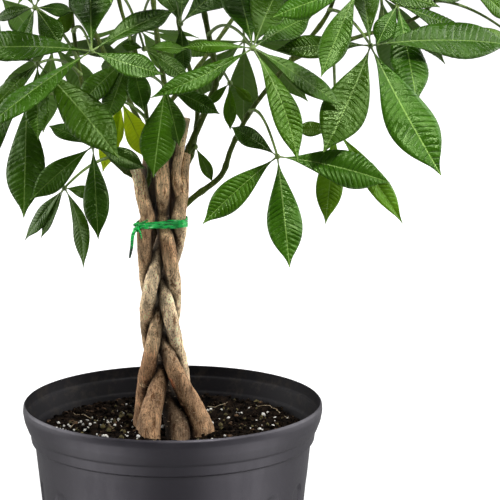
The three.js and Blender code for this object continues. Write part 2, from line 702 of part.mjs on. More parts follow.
function leafSolid(leaf, order) {
  const draw = seededDraws(order + 1);
  const [branch, shootName, along] = leaf.from;
  const shoot = SHOOTS[shootName];
  const hub = vec(...leaf.hub);
  const axes = leafAxes(leaf.face);
  const blades = leaf.blades ?? evenFan(leaf.fan, draw);
  const knob = new THREE.OctahedronGeometry(HUB_RADIUS).translate(...leaf.hub);
  const pieces = [petioleSolid(alongPath(shoot[branch], along), hub), solidOf(knob)];
  for (const blade of blades) pieces.push(bladeSolid(hub, axes, blade, draw));
  return largestBody(join(pieces).subtract(shootSolid(shoot, GAP)));
}

// ---------------------------------------------------------------- the scene graph
const tree = new THREE.Group();
function addPiece(name, solid, material) {
  const mesh = new THREE.Mesh(geometryOf(solid), material);
  mesh.name = name;
  tree.add(mesh);
}

addPiece('pot', makePot(), potPlastic);
addPiece('soil', makeSoil(), peat);
for (const [name, solid] of Object.entries(stems)) addPiece(name, solid, bark);
addPiece('tie', makeTie(), ribbonPlastic);
for (const [name, shoot] of Object.entries(SHOOTS)) {
  addPiece(name, shootSolid(shoot).subtract(stemsWithRoom[shoot.stem]), greenBark);
}
Object.entries(LEAVES).forEach(([name, leaf], order) => addPiece(name, leafSolid(leaf, order), leafGreen));

export default tree;
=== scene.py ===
# %% [markdown]
# # A money tree in its nursery pot
# Young stems of this tree bend easily, so growers plait five of them, tie them with a ribbon and
# let them thicken together. Each pruned stem then sends up green shoots that carry hand-shaped
# leaves.
# The part's solids are already packed. This lesson dresses them: every solid gets a finer piece of
# the same form, worked out from the same few sizes, and a finish made from nodes.

# %% Load the solids and keep their box
import math

import bpy
import numpy as np
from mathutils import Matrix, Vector, noise


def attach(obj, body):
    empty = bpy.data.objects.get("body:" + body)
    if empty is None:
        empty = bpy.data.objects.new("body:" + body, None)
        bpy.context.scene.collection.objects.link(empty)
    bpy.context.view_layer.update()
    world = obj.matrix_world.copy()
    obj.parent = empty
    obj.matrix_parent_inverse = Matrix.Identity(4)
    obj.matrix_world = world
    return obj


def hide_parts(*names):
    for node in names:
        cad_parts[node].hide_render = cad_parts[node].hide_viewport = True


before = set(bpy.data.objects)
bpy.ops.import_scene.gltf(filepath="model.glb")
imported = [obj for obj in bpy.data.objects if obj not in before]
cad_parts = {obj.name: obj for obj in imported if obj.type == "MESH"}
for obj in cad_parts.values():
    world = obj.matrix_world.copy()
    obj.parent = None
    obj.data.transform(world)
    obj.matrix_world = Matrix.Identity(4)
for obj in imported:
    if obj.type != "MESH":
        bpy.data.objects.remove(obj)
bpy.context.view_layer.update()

# %% [markdown]
# ## The camera
# The photograph was taken from a little above the rim with a long lens, so the picture is flat and
# the pot's mouth is a thin ellipse. Matching that ellipse fixes the camera's height and tilt, and
# the spread between the rim's left and right ends fixes the lens.

# %% Camera
EYE = (0, -1.9829, 0.7602)
LENS = 157.156                       # millimetres on a 36 mm wide sensor
PITCH_DOWN = 10.7676                 # degrees
YAW_RIGHT = 2.0839

bpy.ops.object.camera_add(
    location=EYE, rotation=(math.radians(90 - PITCH_DOWN), 0, math.radians(-YAW_RIGHT))
)
camera = bpy.context.object
camera.name = "photo_camera"
camera.data.lens = LENS
camera.data.sensor_width = 36
camera.data.clip_end = 60
bpy.context.scene.camera = camera
print("camera", EYE, "lens", LENS)

# %% [markdown]
# ## Finishes
# A finish is a small graph of nodes that ends in one shader. A few short helpers keep the graphs
# readable: one adds a node and wires its inputs, one lays a paint over a colour where a mask is
# high. Patterns read Object coordinates, which are metres on the plant, so a noise of scale 200 has
# grains 5 mm wide.

# %% Helpers for nodes
def wire(tree, socket, value):
    """Links a socket to an input, or sets the input. A colour is three numbers; its fourth is 1."""
    if isinstance(value, bpy.types.NodeSocket):
        tree.links.new(value, socket)
    else:
        socket.default_value = (*value, 1) if socket.type == "RGBA" else value


def add(tree, kind, wires=None, **settings):
    """Adds a node. A wire is a socket to link or a value to set, by the input's name or number."""
    node = tree.nodes.new("ShaderNode" + kind)
    for setting, value in settings.items():
        setattr(node, setting, value)
    for socket, value in (wires or {}).items():
        wire(tree, node.inputs[socket], value)
    return node


def blend(tree, factor, a, b, how="MIX"):
    """A colour between a and b."""
    return add(tree, "Mix", {0: factor, 6: a, 7: b}, data_type="RGBA", blend_type=how).outputs[2]


def places(tree, stretch=(1, 1, 1)):
    """Object coordinates, stretched."""
    where = add(tree, "TexCoord").outputs["Object"]
    return add(tree, "Mapping", {"Vector": where, "Scale": stretch}).outputs["Vector"]


def height_above_floor(tree):
    return add(tree, "SeparateXYZ", {0: places(tree)}).outputs[2]


def grain(tree, scale, detail=4.0, rough=0.6, stretch=(1, 1, 1)):
    """Noise with this many grains to the metre."""
    wires = {"Vector": places(tree, stretch), "Scale": scale, "Detail": detail, "Roughness": rough}
    return add(tree, "TexNoise", wires).outputs["Fac"]


def between(tree, value, low, high, to_low=0.0, to_high=1.0):
    """Spreads the part of a value between low and high over a new range, and clips the rest."""
    return add(tree, "MapRange", {0: value, 1: low, 2: high, 3: to_low, 4: to_high}).outputs[0]


def maths(tree, how, a, b=0.0):
    return add(tree, "Math", {0: a, 1: b}, operation=how).outputs[0]


def over(tree, colour, mask, low, high, paint, share=1.0):
    """Lays paint over a colour as the mask goes from low to high, until it covers this share."""
    return blend(tree, between(tree, mask, low, high, 0, share), colour, paint)


def set_input(material, socket, value):
    """Wires one input of the material's shader, or sets it."""
    wire(material.node_tree, material.node_tree.nodes["Principled BSDF"].inputs[socket], value)


def new_finish(name, roughness, specular, **more):
    """A new material and its node tree. base_color=... sets the shader's "Base Color", and so on."""
    material = bpy.data.materials.new(name)
    material.use_nodes = True
    values = {"Roughness": roughness, "Specular IOR Level": specular}
    values.update({key.replace("_", " ").title(): value for key, value in more.items()})
    for socket, value in values.items():
        set_input(material, socket, value)
    return material, material.node_tree


def surfaced(material, colour, height, depth, strength=1.0):
    """Gives a finish its colour, and a bump where a height of 1 stands depth metres proud."""
    wires = {"Height": height, "Distance": depth, "Strength": strength}
    set_input(material, "Base Color", colour)
    set_input(material, "Normal", add(material.node_tree, "Bump", wires).outputs[0])
    return material


print("node helpers ready")

# %% [markdown]
# ## Light and floor
# The plant stood in a white studio between two very wide soft lamps, one on each side. A lamp above
# lights the crown, and a small one high in front gives the crisp shadows and the glints on the waxy
# leaves. The pot's wall leans out and the camera looks down, so what the wall mirrors is the floor:
# two bright patches of it, seen by reflections only, draw the soft stripes on the pot's sides and
# leave its middle dark. The room itself gives only a little light, or the black pot and the deep
# greens would turn grey; the eye of the camera still sees it, and the pale floor, as white.

# %% Studio
ROOM_GLOW = 0.12                     # light that the white room adds
FLOOR_GLOW = (0.72, 1.0)             # of the pale floor, at the pot and far behind it
GLOW_REACH = (0.35, 0.9)             # metres from the pot between which it rises
SHEEN_PATCH = (0.43, -0.30, 0)       # metres; a bright patch of floor, and its twin on the left
SHEEN_REACH = (0.36, 0.10)           # metres from a patch's middle between which its light rises
FLOOR_SHEEN = 2.85                   # strength of their light
FLOOR_SIZE = 40                      # metres
FLOOR_GREY = (0.22, 0.22, 0.22)
WHITE = (1, 1, 1)


def by_ray(tree, ray, strength, otherwise=0.0):
    """One strength for rays of this kind, and another for all the rest."""
    return between(tree, add(tree, "LightPath").outputs[ray], 0, 1, otherwise, strength)


def sheen_patches(tree):
    """The light of the floor where the lamps strike it, which only a shiny surface shows."""
    parts = add(tree, "SeparateXYZ", {0: places(tree)}).outputs
    folded = add(tree, "CombineXYZ", {0: maths(tree, "ABSOLUTE", parts[0]), 1: parts[1]}).outputs[0]
    distance = add(tree, "VectorMath", {0: folded, 1: SHEEN_PATCH}, operation="DISTANCE")
    return between(tree, distance.outputs["Value"], *SHEEN_REACH, 0, FLOOR_SHEEN)


def glow_by_distance(tree):
    """The floor's glow: less near the pot, so that its shadow shows there."""
    distance = add(tree, "VectorMath", {0: places(tree)}, operation="LENGTH")
    return between(tree, distance.outputs["Value"], *GLOW_REACH, *FLOOR_GLOW)


bpy.ops.object.select_all(action="DESELECT")
bpy.ops.mesh.primitive_plane_add(size=FLOOR_SIZE, location=(0, 0, 0))
floor = bpy.context.object
floor.name = "studio_floor"
pale, floor_tree = new_finish("pale floor", 0.9, 0.1, base_color=FLOOR_GREY, emission_color=WHITE)
shine = by_ray(floor_tree, "Is Glossy Ray", sheen_patches(floor_tree))
glow = by_ray(floor_tree, "Is Camera Ray", glow_by_distance(floor_tree), shine)
set_input(pale, "Emission Strength", glow)
floor.data.materials.append(pale)

room = bpy.data.worlds.new("white room")
room.use_nodes = True
backdrop = room.node_tree.nodes["Background"].inputs
wire(room.node_tree, backdrop["Color"], WHITE)
wire(room.node_tree, backdrop["Strength"], by_ray(room.node_tree, "Is Camera Ray", 1.0, ROOM_GLOW))
bpy.context.scene.world = room
bpy.context.scene.view_settings.view_transform = "Standard"


def softbox(name, place, aim, width, height, power):
    """A soft lamp, in watts, with a flat face that looks at a point."""
    bpy.ops.object.light_add(type="AREA", location=place)
    lamp = bpy.context.object
    lamp.name = name
    lamp.data.shape = "RECTANGLE"
    lamp.data.size = width
    lamp.data.size_y = height
    lamp.data.energy = power
    lamp.rotation_euler = (Vector(aim) - Vector(place)).to_track_quat("-Z", "Y").to_euler()


MID_PLANT = (0, 0, 0.5)
softbox("left_softbox", (-2.2, 0.45, 1.15), MID_PLANT, 2.6, 2.1, 70)
softbox("right_softbox", (2.2, 0.45, 1.15), MID_PLANT, 2.6, 2.1, 68)
softbox("top_softbox", (0.3, -0.2, 2.6), MID_PLANT, 0.8, 0.8, 42)
softbox("front_fill", (1.3, -2.0, 2.7), (0, 0, 0.45), 0.45, 0.45, 92)
softbox("backdrop_lamp", (0, 2.2, 2.6), (0, 5.5, 0), 3.0, 1.0, 260)
print("lamps at both sides, above, in front and for the backdrop")

# %% [markdown]
# ## Working on one piece at a time
# An operator acts on all that is selected, and the loaded solids come in selected. So each step
# first picks its own object. Sizes are written in millimetres, as a gardener would measure them,
# and one number turns them into the metres that the scene is built in.

# %% Selecting, reading and moving corners
MM = 0.001


def pick(*objects):
    """Selects these objects and nothing else; the first is the active one."""
    bpy.ops.object.select_all(action="DESELECT")
    for chosen in objects:
        chosen.select_set(True)
    bpy.context.view_layer.objects.active = objects[0]


def corners(piece):
    """The mesh's corners in millimetres, one row each."""
    flat = np.empty(3 * len(piece.data.vertices))
    piece.data.vertices.foreach_get("co", flat)
    return flat.reshape(-1, 3) / MM


def move_corners(piece, spots):
    piece.data.vertices.foreach_set("co", (np.asarray(spots) * MM).ravel())
    piece.data.update()


def corner_normals(piece):
    flat = np.empty(3 * len(piece.data.vertices))
    piece.data.vertices.foreach_get("normal", flat)
    return flat.reshape(-1, 3)


def apply_modifier(piece, kind, **settings):
    """Adds a modifier to the piece, sets it and applies it at once."""
    pick(piece)
    modifier = piece.modifiers.new(kind.lower(), kind)
    for setting, value in settings.items():
        setattr(modifier, setting, value)
    bpy.ops.object.modifier_apply(modifier=modifier.name)


def tidy_faces(piece, smooth_below=60):
    """Merges doubled corners, turns every face outwards and smooths all but the sharp edges."""
    pick(piece)
    bpy.ops.object.mode_set(mode="EDIT")
    bpy.ops.mesh.select_all(action="SELECT")
    bpy.ops.mesh.remove_doubles(threshold=0.002 * MM)
    bpy.ops.mesh.normals_make_consistent(inside=False)
    bpy.ops.object.mode_set(mode="OBJECT")
    bpy.ops.object.shade_smooth_by_angle(angle=math.radians(smooth_below))


def smooth_all(piece):
    piece.data.polygons.foreach_set("use_smooth", [True] * len(piece.data.polygons))


def mesh_piece(name, spots, faces):
    """A new mesh object from corners in millimetres and faces."""
    mesh = bpy.data.meshes.new(name)
    mesh.from_pydata((np.asarray(spots) * MM).tolist(), [], faces)
    piece = bpy.data.objects.new(name, mesh)
    bpy.context.scene.collection.objects.link(piece)
    return piece


def hand_over(piece, finishes, slot, *nodes):
    """The piece gets its finishes, moves with the part and stands for these nodes. The slot is not
    used.
    """
    for finish in finishes:
        piece.data.materials.append(finish)
    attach(piece, "root")
    if nodes:
        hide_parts(*nodes)
    print(piece.name, len(piece.data.polygons), "faces")


print("one millimetre is", MM, "of the scene's metres")

# %% [markdown]
# Nothing in nature repeats exactly, but a script has to give the same plant each time it runs. A
# small rule that makes one number from the last gives draws that look random and never change. It
# is the same rule that shaped the solids, so each fine leaflet folds and twists as its solid does.

# %% Repeatable draws and smooth lines
DRAW_STEPS = 2 ** 32


def seeded_draws(seed):
    """A function that gives the next number between 0 and 1."""
    state = (seed * 7919 + 12345) % DRAW_STEPS

    def draw():
        nonlocal state
        state = (state * 1664525 + 1013904223) % DRAW_STEPS
        return state / DRAW_STEPS

    return draw


def mix(a, b, t):
    return a + (b - a) * t


def unit(v):
    return v / np.linalg.norm(v)


def eased(t):
    """From 0 to 1 with a gentle start and end."""
    return t * t * (3 - 2 * t)


def joined(t, a, b, slope_a, slope_b):
    """A smooth curve from a to b that has these slopes at its ends."""
    return ((2 * t**3 - 3 * t**2 + 1) * a + (t**3 - 2 * t**2 + t) * slope_a
            + (3 * t**2 - 2 * t**3) * b + (t**3 - t**2) * slope_b)


def around(radius, turn):
    """The place at an angle round from the front, seen from above."""
    return radius * math.sin(turn), -radius * math.cos(turn)


def along_path(points, u):
    """The place at u, from 0 to 1, on a smooth line through the points."""
    points = np.asarray(points, float)
    last = len(points) - 1
    span = min(int(u * last), last - 1)
    t = u * last - span
    a, b = points[span], points[span + 1]
    slope_a = (b - points[max(span - 1, 0)]) / 2
    slope_b = (points[min(span + 2, last)] - a) / 2
    return joined(t, a, b, slope_a, slope_b)


def rods(name, runs, roundness):
    """Round rods as one mesh, drawn as curves with a round bevel. A run is (line, radii)."""
    curve = bpy.data.curves.new(name, "CURVE")
    curve.dimensions = "3D"
    curve.bevel_depth = MM
    curve.bevel_resolution = roundness
    curve.use_fill_caps = True
    for line, radii in runs:
        spline = curve.splines.new("POLY")
        spline.points.add(len(line) - 1)
        ones = np.ones(len(line))
        spline.points.foreach_set("co", np.column_stack([np.asarray(line) * MM, ones]).ravel())
        spline.points.foreach_set("radius", np.asarray(radii, float))
    piece = bpy.data.objects.new(name, curve)
    bpy.context.scene.collection.objects.link(piece)
    pick(piece)
    bpy.ops.object.convert(target="MESH")
    return bpy.context.object


print("the first draw from seed 1 is", round(seeded_draws(1)(), 3))

# %% [markdown]
# ## The pot
# A nursery pot is blown or pressed from black plastic. Its wall leans out a little, the rim carries
# a wide band with a step below it, and shallow round-topped panels stiffen the wall. A turned shape
# is one outline spun about the axis. The panels are pressed in as it is spun: the wall gets close
# rows and columns there, and the corners inside each panel's outline are pushed inwards.

# %% Sizes of the pot
POT_HEIGHT = 240
RIM_RADIUS = 140
BASE_RADIUS = 109
POT_WALL = 2.4
POT_FLOOR = 2.6
BAND_FOOT = 204
FLUTES = 18
FLUTE_HALF_WIDTH = 9.5
FLUTE_DEPTH = 1.5
FLUTE_TOP = 172
FLUTE_FOOT = 22
FLUTE_SHOULDER = 1.6                 # width of the slope between the wall and a panel
DRAIN_HOLES = 6
DRAIN_RADIUS = 8
DRAIN_CIRCLE = 82
FIRST_FLUTE = 5                      # degrees from the front
FLUTE_STEP = 360 / FLUTES
ROW_STEP = 2.5                       # of the wall's rows where the panels lie
FLOOR_RINGS = 22

POT_OUTSIDE = [
    (BASE_RADIUS - 3, 0), (BASE_RADIUS, 3), (RIM_RADIUS - 11.5, BAND_FOOT - 8),
    (RIM_RADIUS - 10.4, BAND_FOOT), (RIM_RADIUS - 7.6, BAND_FOOT + 1),
    (RIM_RADIUS - 6.4, BAND_FOOT + 10), (RIM_RADIUS - 4.8, BAND_FOOT + 12),
    (RIM_RADIUS - 1.4, BAND_FOOT + 21), (RIM_RADIUS, POT_HEIGHT - 7),
    (RIM_RADIUS - 0.5, POT_HEIGHT - 1.6), (RIM_RADIUS - 2, POT_HEIGHT),
]
POT_INSIDE = [
    (BASE_RADIUS - POT_WALL, POT_FLOOR), (RIM_RADIUS - 11.5 - POT_WALL, BAND_FOOT - 8),
    (RIM_RADIUS - 9.6, BAND_FOOT + 11), (RIM_RADIUS - 8, BAND_FOOT + 12),
    (RIM_RADIUS - 5.4, BAND_FOOT + 25), (RIM_RADIUS - 3.6, BAND_FOOT + 26),
    (RIM_RADIUS - 3.4, POT_HEIGHT - 0.6),
]


def eased_corners(outline, reach=1.1):
    """The outline with each corner rounded by three points."""
    outline = np.asarray(outline, float)
    eased = [outline[0]]
    for before, corner, after in zip(outline, outline[1:], outline[2:]):
        back = min(reach, 0.35 * np.linalg.norm(corner - before))
        ahead = min(reach, 0.35 * np.linalg.norm(after - corner))
        start = corner + back * unit(before - corner)
        end = corner + ahead * unit(after - corner)
        eased += [start, (start + 2 * corner + end) / 4, end]
    return eased + [outline[-1]]


def with_rows(outline, low, high, step):
    """The outline with extra points where it rises between two heights."""
    rows = [outline[0]]
    for a, b in zip(outline, outline[1:]):
        if a[1] < high and b[1] > low and b[1] - a[1] > step:
            cuts = np.arange(max(a[1], low), min(b[1], high), step)
            rows += [mix(a, b, (height - a[1]) / (b[1] - a[1])) for height in cuts[1:]]
        rows.append(b)
    return rows


outside = with_rows(eased_corners(POT_OUTSIDE), FLUTE_FOOT - 4, FLUTE_TOP + 6, ROW_STEP)
inside = eased_corners(POT_INSIDE[::-1])
floor_line = np.linspace(BASE_RADIUS - 6, 0, FLOOR_RINGS + 1)[:-1]
pot_outline = np.array([(radius, 0) for radius in floor_line[::-1]] + outside + inside
                       + [(radius, POT_FLOOR) for radius in floor_line])
print("pot outline of", len(pot_outline), "points")

# %% Spin the outline and press the panels in
PANEL_COLUMNS = (0, 1.6, 3.0, 4.0, 4.5, 5.0, 5.6, 7.0, 8.5)    # degrees from a panel's middle
POT_SMOOTH = 50                      # degrees; a sharper edge stays an edge


def pot_turns():
    """Angles of the pot's columns: close together where a panel's side runs."""
    turns = set()
    for k in range(FLUTES):
        middle = FIRST_FLUTE + FLUTE_STEP * k
        for off in PANEL_COLUMNS:
            turns.update({round((middle + off) % 360, 4), round((middle - off) % 360, 4)})
        turns.add(round((middle + FLUTE_STEP / 2) % 360, 4))
    return np.radians(sorted(turns))


def panel_push(degrees, height, radius):
    """How far a point of the outer wall goes inwards: 0 on the wall, FLUTE_DEPTH in a panel."""
    off = (degrees - FIRST_FLUTE + FLUTE_STEP / 2) % FLUTE_STEP - FLUTE_STEP / 2
    sideways = np.abs(np.radians(off)) * radius
    arch = np.maximum(height - (FLUTE_TOP - FLUTE_HALF_WIDTH), 0)
    inward = FLUTE_HALF_WIDTH - np.hypot(sideways, arch)
    inward = np.minimum(inward, height - FLUTE_FOOT)
    return FLUTE_DEPTH * eased(np.clip(inward / FLUTE_SHOULDER + 0.5, 0, 1))


def ring_faces(rings, count, first=0):
    """Faces between rings of corners that are each closed and hold this many."""
    return [(first + r * count + k, first + r * count + (k + 1) % count,
             first + (r + 1) * count + (k + 1) % count, first + (r + 1) * count + k)
            for r in range(rings - 1) for k in range(count)]


def make_pot():
    turns = pot_turns()
    outer_rows = len(floor_line) + len(outside)
    grid = []
    for row, (radius, height) in enumerate(pot_outline):
        reach = np.full(len(turns), radius)
        if row < outer_rows and FLUTE_FOOT - 4 < height < FLUTE_TOP + 4:
            reach = reach - panel_push(np.degrees(turns), height, radius)
        grid.append(np.column_stack([reach * np.sin(turns), -reach * np.cos(turns),
                                     np.full(len(turns), height)]))
    pot = mesh_piece("fine_pot", np.concatenate(grid), ring_faces(len(pot_outline), len(turns)))
    tidy_faces(pot, POT_SMOOTH)
    return pot


def drill_drains(pot):
    """Cuts the holes in the floor, one cylinder after another."""
    for k in range(DRAIN_HOLES):
        turn = 2 * math.pi * k / DRAIN_HOLES
        middle = (DRAIN_CIRCLE * MM * math.cos(turn), DRAIN_CIRCLE * MM * math.sin(turn), 0)
        bpy.ops.mesh.primitive_cylinder_add(vertices=32, radius=DRAIN_RADIUS * MM,
                                            depth=4 * POT_FLOOR * MM, location=middle)
        drill = bpy.context.object
        apply_modifier(pot, "BOOLEAN", operation="DIFFERENCE", object=drill, solver="EXACT")
        bpy.data.objects.remove(drill)


# %% [markdown]
# Black plastic is never quite black: its satin skin mirrors the white room in a soft grey. Moulding
# leaves a fine grain, handling leaves scuffs and dust, and watering leaves a dull bloom near the
# rim. So the roughness varies, and a thin dusty grey is laid over the black in patches. The inside
# is duller and browner, because wet soil has splashed it.

# %% Satin black plastic
def black_plastic():
    material, tree = new_finish("satin black plastic", 0.45, 0.64, specular_tint=(0.95, 0.90, 1.0))
    cloudy = between(tree, grain(tree, 14, 5, 0.65), 0.45, 0.75)
    scuffs = grain(tree, 60, 6, 0.7, (1, 1, 0.25))
    dusty = maths(tree, "MULTIPLY", cloudy, between(tree, scuffs, 0.4, 0.7))
    colour = over(tree, (0.0066, 0.0058, 0.0088), dusty, 0, 1, (0.030, 0.029, 0.031), 0.5)
    set_input(material, "Roughness", between(tree, scuffs, 0.3, 0.75, 0.40, 0.56))
    return surfaced(material, colour, grain(tree, 900, 2, 0.5), 0.00012, 0.6)


def dull_inside():
    """The same plastic inside the pot, where dust and splashes of peat take the shine off."""
    material, tree = new_finish("dull black plastic", 0.62, 0.16)
    splashes = grain(tree, 70, 5, 0.7)
    colour = over(tree, (0.0045, 0.0038, 0.0052), splashes, 0.5, 0.75, (0.022, 0.017, 0.013))
    return surfaced(material, colour, splashes, 0.0003, 0.5)


def faces_inwards(face):
    """True for a face of the pot's wall that looks at the soil."""
    outward = face.normal.x * face.center.x + face.normal.y * face.center.y
    return outward < -0.2 * math.hypot(*face.center.xy)


pot = make_pot()
drill_drains(pot)
tidy_faces(pot, POT_SMOOTH)
for face in pot.data.polygons:
    face.material_index = int(faces_inwards(face))
hand_over(pot, [black_plastic(), dull_inside()], "pot_plastic", "pot")

# %% [markdown]
# ## The soil
# Potting mix settles into low mounds, a finger below the rim, and watering washes a shallow hollow
# round the stems' feet. Peat is nearly black when damp and full of crumbs, and white perlite,
# flecks of bark, tufts of moss and threads of root lie on it. The ground is rings of corners bent
# into mounds; crumbs and grains are copies of a few lumps.

# %% The ground
SOIL_LEVEL = 214
SOIL_RELIEF = 2.6
SOIL_STEP = 1.8                      # spacing of the ground's corners
SOIL_EDGE_DROP = 5
FOOT_HOLLOW = 6                      # water has washed this much away round the stems' feet
FOOT_HOLLOW_REACH = 42
FOOT_MIDDLE = (3, -18)               # of that hollow
EDGE_STARTS = 112                    # from this radius on, the soil sinks towards the wall
SOIL_SPOKES = 240
LOOSE_REACH = 122                    # loose bits lie within this radius
GAP = 0.3                            # between the soil and the pot


def ground_height(x, y):
    return (SOIL_LEVEL + SOIL_RELIEF * np.sin(x / 13 + 0.8) * np.cos(y / 11 - 0.5)
            + 0.6 * SOIL_RELIEF * np.sin((x + 2 * y) / 17))


def inner_radius(height):
    """The radius that the soil has inside the pot at a height."""
    radii, heights = np.array(POT_INSIDE).T
    return float(np.interp(height, heights, radii)) - 2 * GAP


SOIL_EDGE = inner_radius(SOIL_LEVEL - SOIL_EDGE_DROP)


def crumbly(x, y):
    """Clods and crumbs: noise of three sizes, in millimetres."""
    place = Vector((x, y, 0))
    return (1.9 * noise.noise(place / 9) + 1.6 * noise.noise(place / 3.6 + Vector((5, 1, 0)))
            + 0.8 * abs(noise.noise(place / 1.9 + Vector((2, 7, 0)))))


def soil_surface(x, y):
    """The ground's height with its crumbs; it sinks towards the wall."""
    sunk = min(max((math.hypot(x, y) - EDGE_STARTS) / (SOIL_EDGE - EDGE_STARTS), 0), 1)
    level = mix(float(ground_height(x, y)), SOIL_LEVEL - SOIL_EDGE_DROP, sunk)
    from_foot = math.hypot(x - FOOT_MIDDLE[0], y - FOOT_MIDDLE[1])
    level -= FOOT_HOLLOW * math.exp(-from_foot ** 2 / FOOT_HOLLOW_REACH ** 2)
    return level + crumbly(x, y) * (1 - 0.6 * sunk)


def make_soil():
    """Rings of corners from the middle to the wall, then two rings down the wall."""
    count = int(SOIL_EDGE / SOIL_STEP)
    rings = [(SOIL_EDGE * ring / count, None) for ring in range(1, count + 1)]
    rings += [(inner_radius(height), height) for height in (BAND_FOOT - 8, POT_FLOOR + GAP)]
    spots = [(0.0, 0.0, soil_surface(0, 0))]
    for radius, height in rings:
        for k in range(SOIL_SPOKES):
            x, y = around(radius, 2 * math.pi * k / SOIL_SPOKES)
            spots.append((x, y, soil_surface(x, y) if height is None else height))
    faces = [(0, 1 + k, 1 + (k + 1) % SOIL_SPOKES) for k in range(SOIL_SPOKES)]
    faces += ring_faces(len(rings), SOIL_SPOKES, first=1)
    faces.append([len(spots) - SOIL_SPOKES + k for k in range(SOIL_SPOKES)])
    ground = mesh_piece("fine_soil", spots, faces)
    tidy_faces(ground)
    return ground


# %% Peat
def damp_peat():
    material, tree = new_finish("damp peat", 0.95, 0.05)
    clods = grain(tree, 160, 6, 0.7)
    fleck = grain(tree, 700, 3)
    colour = over(tree, (0.0012, 0.0008, 0.0006), clods, 0.42, 0.72, (0.022, 0.014, 0.009))
    colour = over(tree, colour, fleck, 0.65, 0.72, (0.13, 0.085, 0.045))
    return surfaced(material, colour, maths(tree, "ADD", clods, fleck), 0.0012, 0.9)


peat = damp_peat()
hand_over(make_soil(), [peat], "peat", "soil")

# %% [markdown]
# Crumbs and grains repeat hundreds of times, so each is a rough lump of a few dozen faces. A kind's
# lump is made from an icosphere whose corners are pushed in and out; every copy gets its own size,
# stretch and turn. All copies of a kind become one mesh, which keeps the scene light.

# %% Scatter lumps on the ground
LUMP_UNEVEN = 0.3                    # of a lump's radius


def rough_lump(seed):
    """An uneven lump of radius 1 mm, as corners and faces."""
    bpy.ops.object.select_all(action="DESELECT")
    bpy.ops.mesh.primitive_ico_sphere_add(subdivisions=1, radius=MM, location=(0, 0, 0))
    lump = bpy.context.object
    draw = seeded_draws(seed)
    uneven = [[mix(1 - LUMP_UNEVEN, 1 + LUMP_UNEVEN, draw())] for _ in lump.data.vertices]
    spots = corners(lump) * np.array(uneven)
    faces = [tuple(face.vertices) for face in lump.data.polygons]
    bpy.data.objects.remove(lump)
    return spots, faces


def turned_about(spots, angles):
    """The corners turned about X, then Y, then Z."""
    for axis, angle in enumerate(angles):
        a, b = (axis + 1) % 3, (axis + 2) % 3
        c, s = math.cos(angle), math.sin(angle)
        turned = spots.copy()
        turned[:, a] = c * spots[:, a] - s * spots[:, b]
        turned[:, b] = s * spots[:, a] + c * spots[:, b]
        spots = turned
    return spots


def scatter(name, count, size, flatten, seed, where, lift):
    """Copies of a lump on the ground. where(draw) gives a place on the soil, or None to skip it."""
    lump, faces = rough_lump(seed)
    draw = seeded_draws(seed + 1)
    all_spots, all_faces = [], []
    for _ in range(count):
        spot = where(draw)
        scale = mix(size[0], size[1], draw() ** 2)
        stretch = np.array([mix(0.7, 1.4, draw()), mix(0.7, 1.2, draw()), flatten]) * scale
        angles = [mix(-0.5, 0.5, draw()), mix(-0.5, 0.5, draw()), 2 * math.pi * draw()]
        if spot is None:
            continue
        x, y = spot
        middle = (x, y, soil_surface(x, y) + scale * flatten * lift)
        base = len(lump) * len(all_spots)
        all_faces += [tuple(base + v for v in face) for face in faces]
        all_spots.append(turned_about(lump * stretch, angles) + middle)
    piece = mesh_piece(name, np.concatenate(all_spots), all_faces)
    smooth_all(piece)
    return piece


def anywhere(draw):
    """A place on the soil, spread evenly over its area."""
    return around((LOOSE_REACH + 2) * math.sqrt(draw()), 2 * math.pi * draw())


PERLITE_CLUSTERS = [((-68, -12), 50, 0.42), ((-20, 60), 40, 0.12), ((66, 24), 44, 0.16),
                    ((40, -70), 45, 0.08), ((0, 0), 120, 0.1)]        # middle, spread, share


def in_clusters(draw):
    """A place in one of the patches where water has washed the light grains together."""
    pick_one, turn, reach = draw(), 2 * math.pi * draw(), math.sqrt(draw())
    for (x, y), spread, share in PERLITE_CLUSTERS:
        pick_one -= share
        if pick_one <= 0:
            break
    x += spread * reach * math.cos(turn)
    y += spread * reach * math.sin(turn)
    return (x, y) if math.hypot(x, y) < LOOSE_REACH else None


def plain_finish(name, dark, light, scale):
    """A dry, grainy finish between two colours."""
    material, tree = new_finish(name, 0.9, 0.3)
    patches = grain(tree, scale)
    return surfaced(material, over(tree, dark, patches, 0.35, 0.65, light), patches, 0.0003)


# Name, copies, smallest and largest radius, flatness, seed, where they lie, how much of their
# radius they are lifted, and finish.
LUMPS = [
    ("peat_crumbs", 1500, (1.0, 3.6), 0.8, 11, anywhere, 0.35, peat),
    ("perlite_grains", 230, (0.7, 2.2), 0.9, 21, in_clusters, 0.7,
     plain_finish("white perlite", (0.5, 0.48, 0.43), (0.85, 0.84, 0.8), 900)),
    ("bark_flakes", 260, (1.2, 3.4), 0.35, 31, anywhere, 0.5,
     plain_finish("bark flakes", (0.02, 0.011, 0.006), (0.10, 0.055, 0.025), 400)),
    ("moss_tufts", 210, (0.8, 3.1), 0.8, 41, in_clusters, 0.5,
     plain_finish("green-gold moss", (0.022, 0.022, 0.008), (0.12, 0.095, 0.035), 500)),
]
for *numbers, finish in LUMPS:
    hand_over(scatter(*numbers), [finish], "peat")

# %% Threads of root
ROOT_COUNT = 26
ROOT_POINTS = 16
ROOT_STEP = 2.4


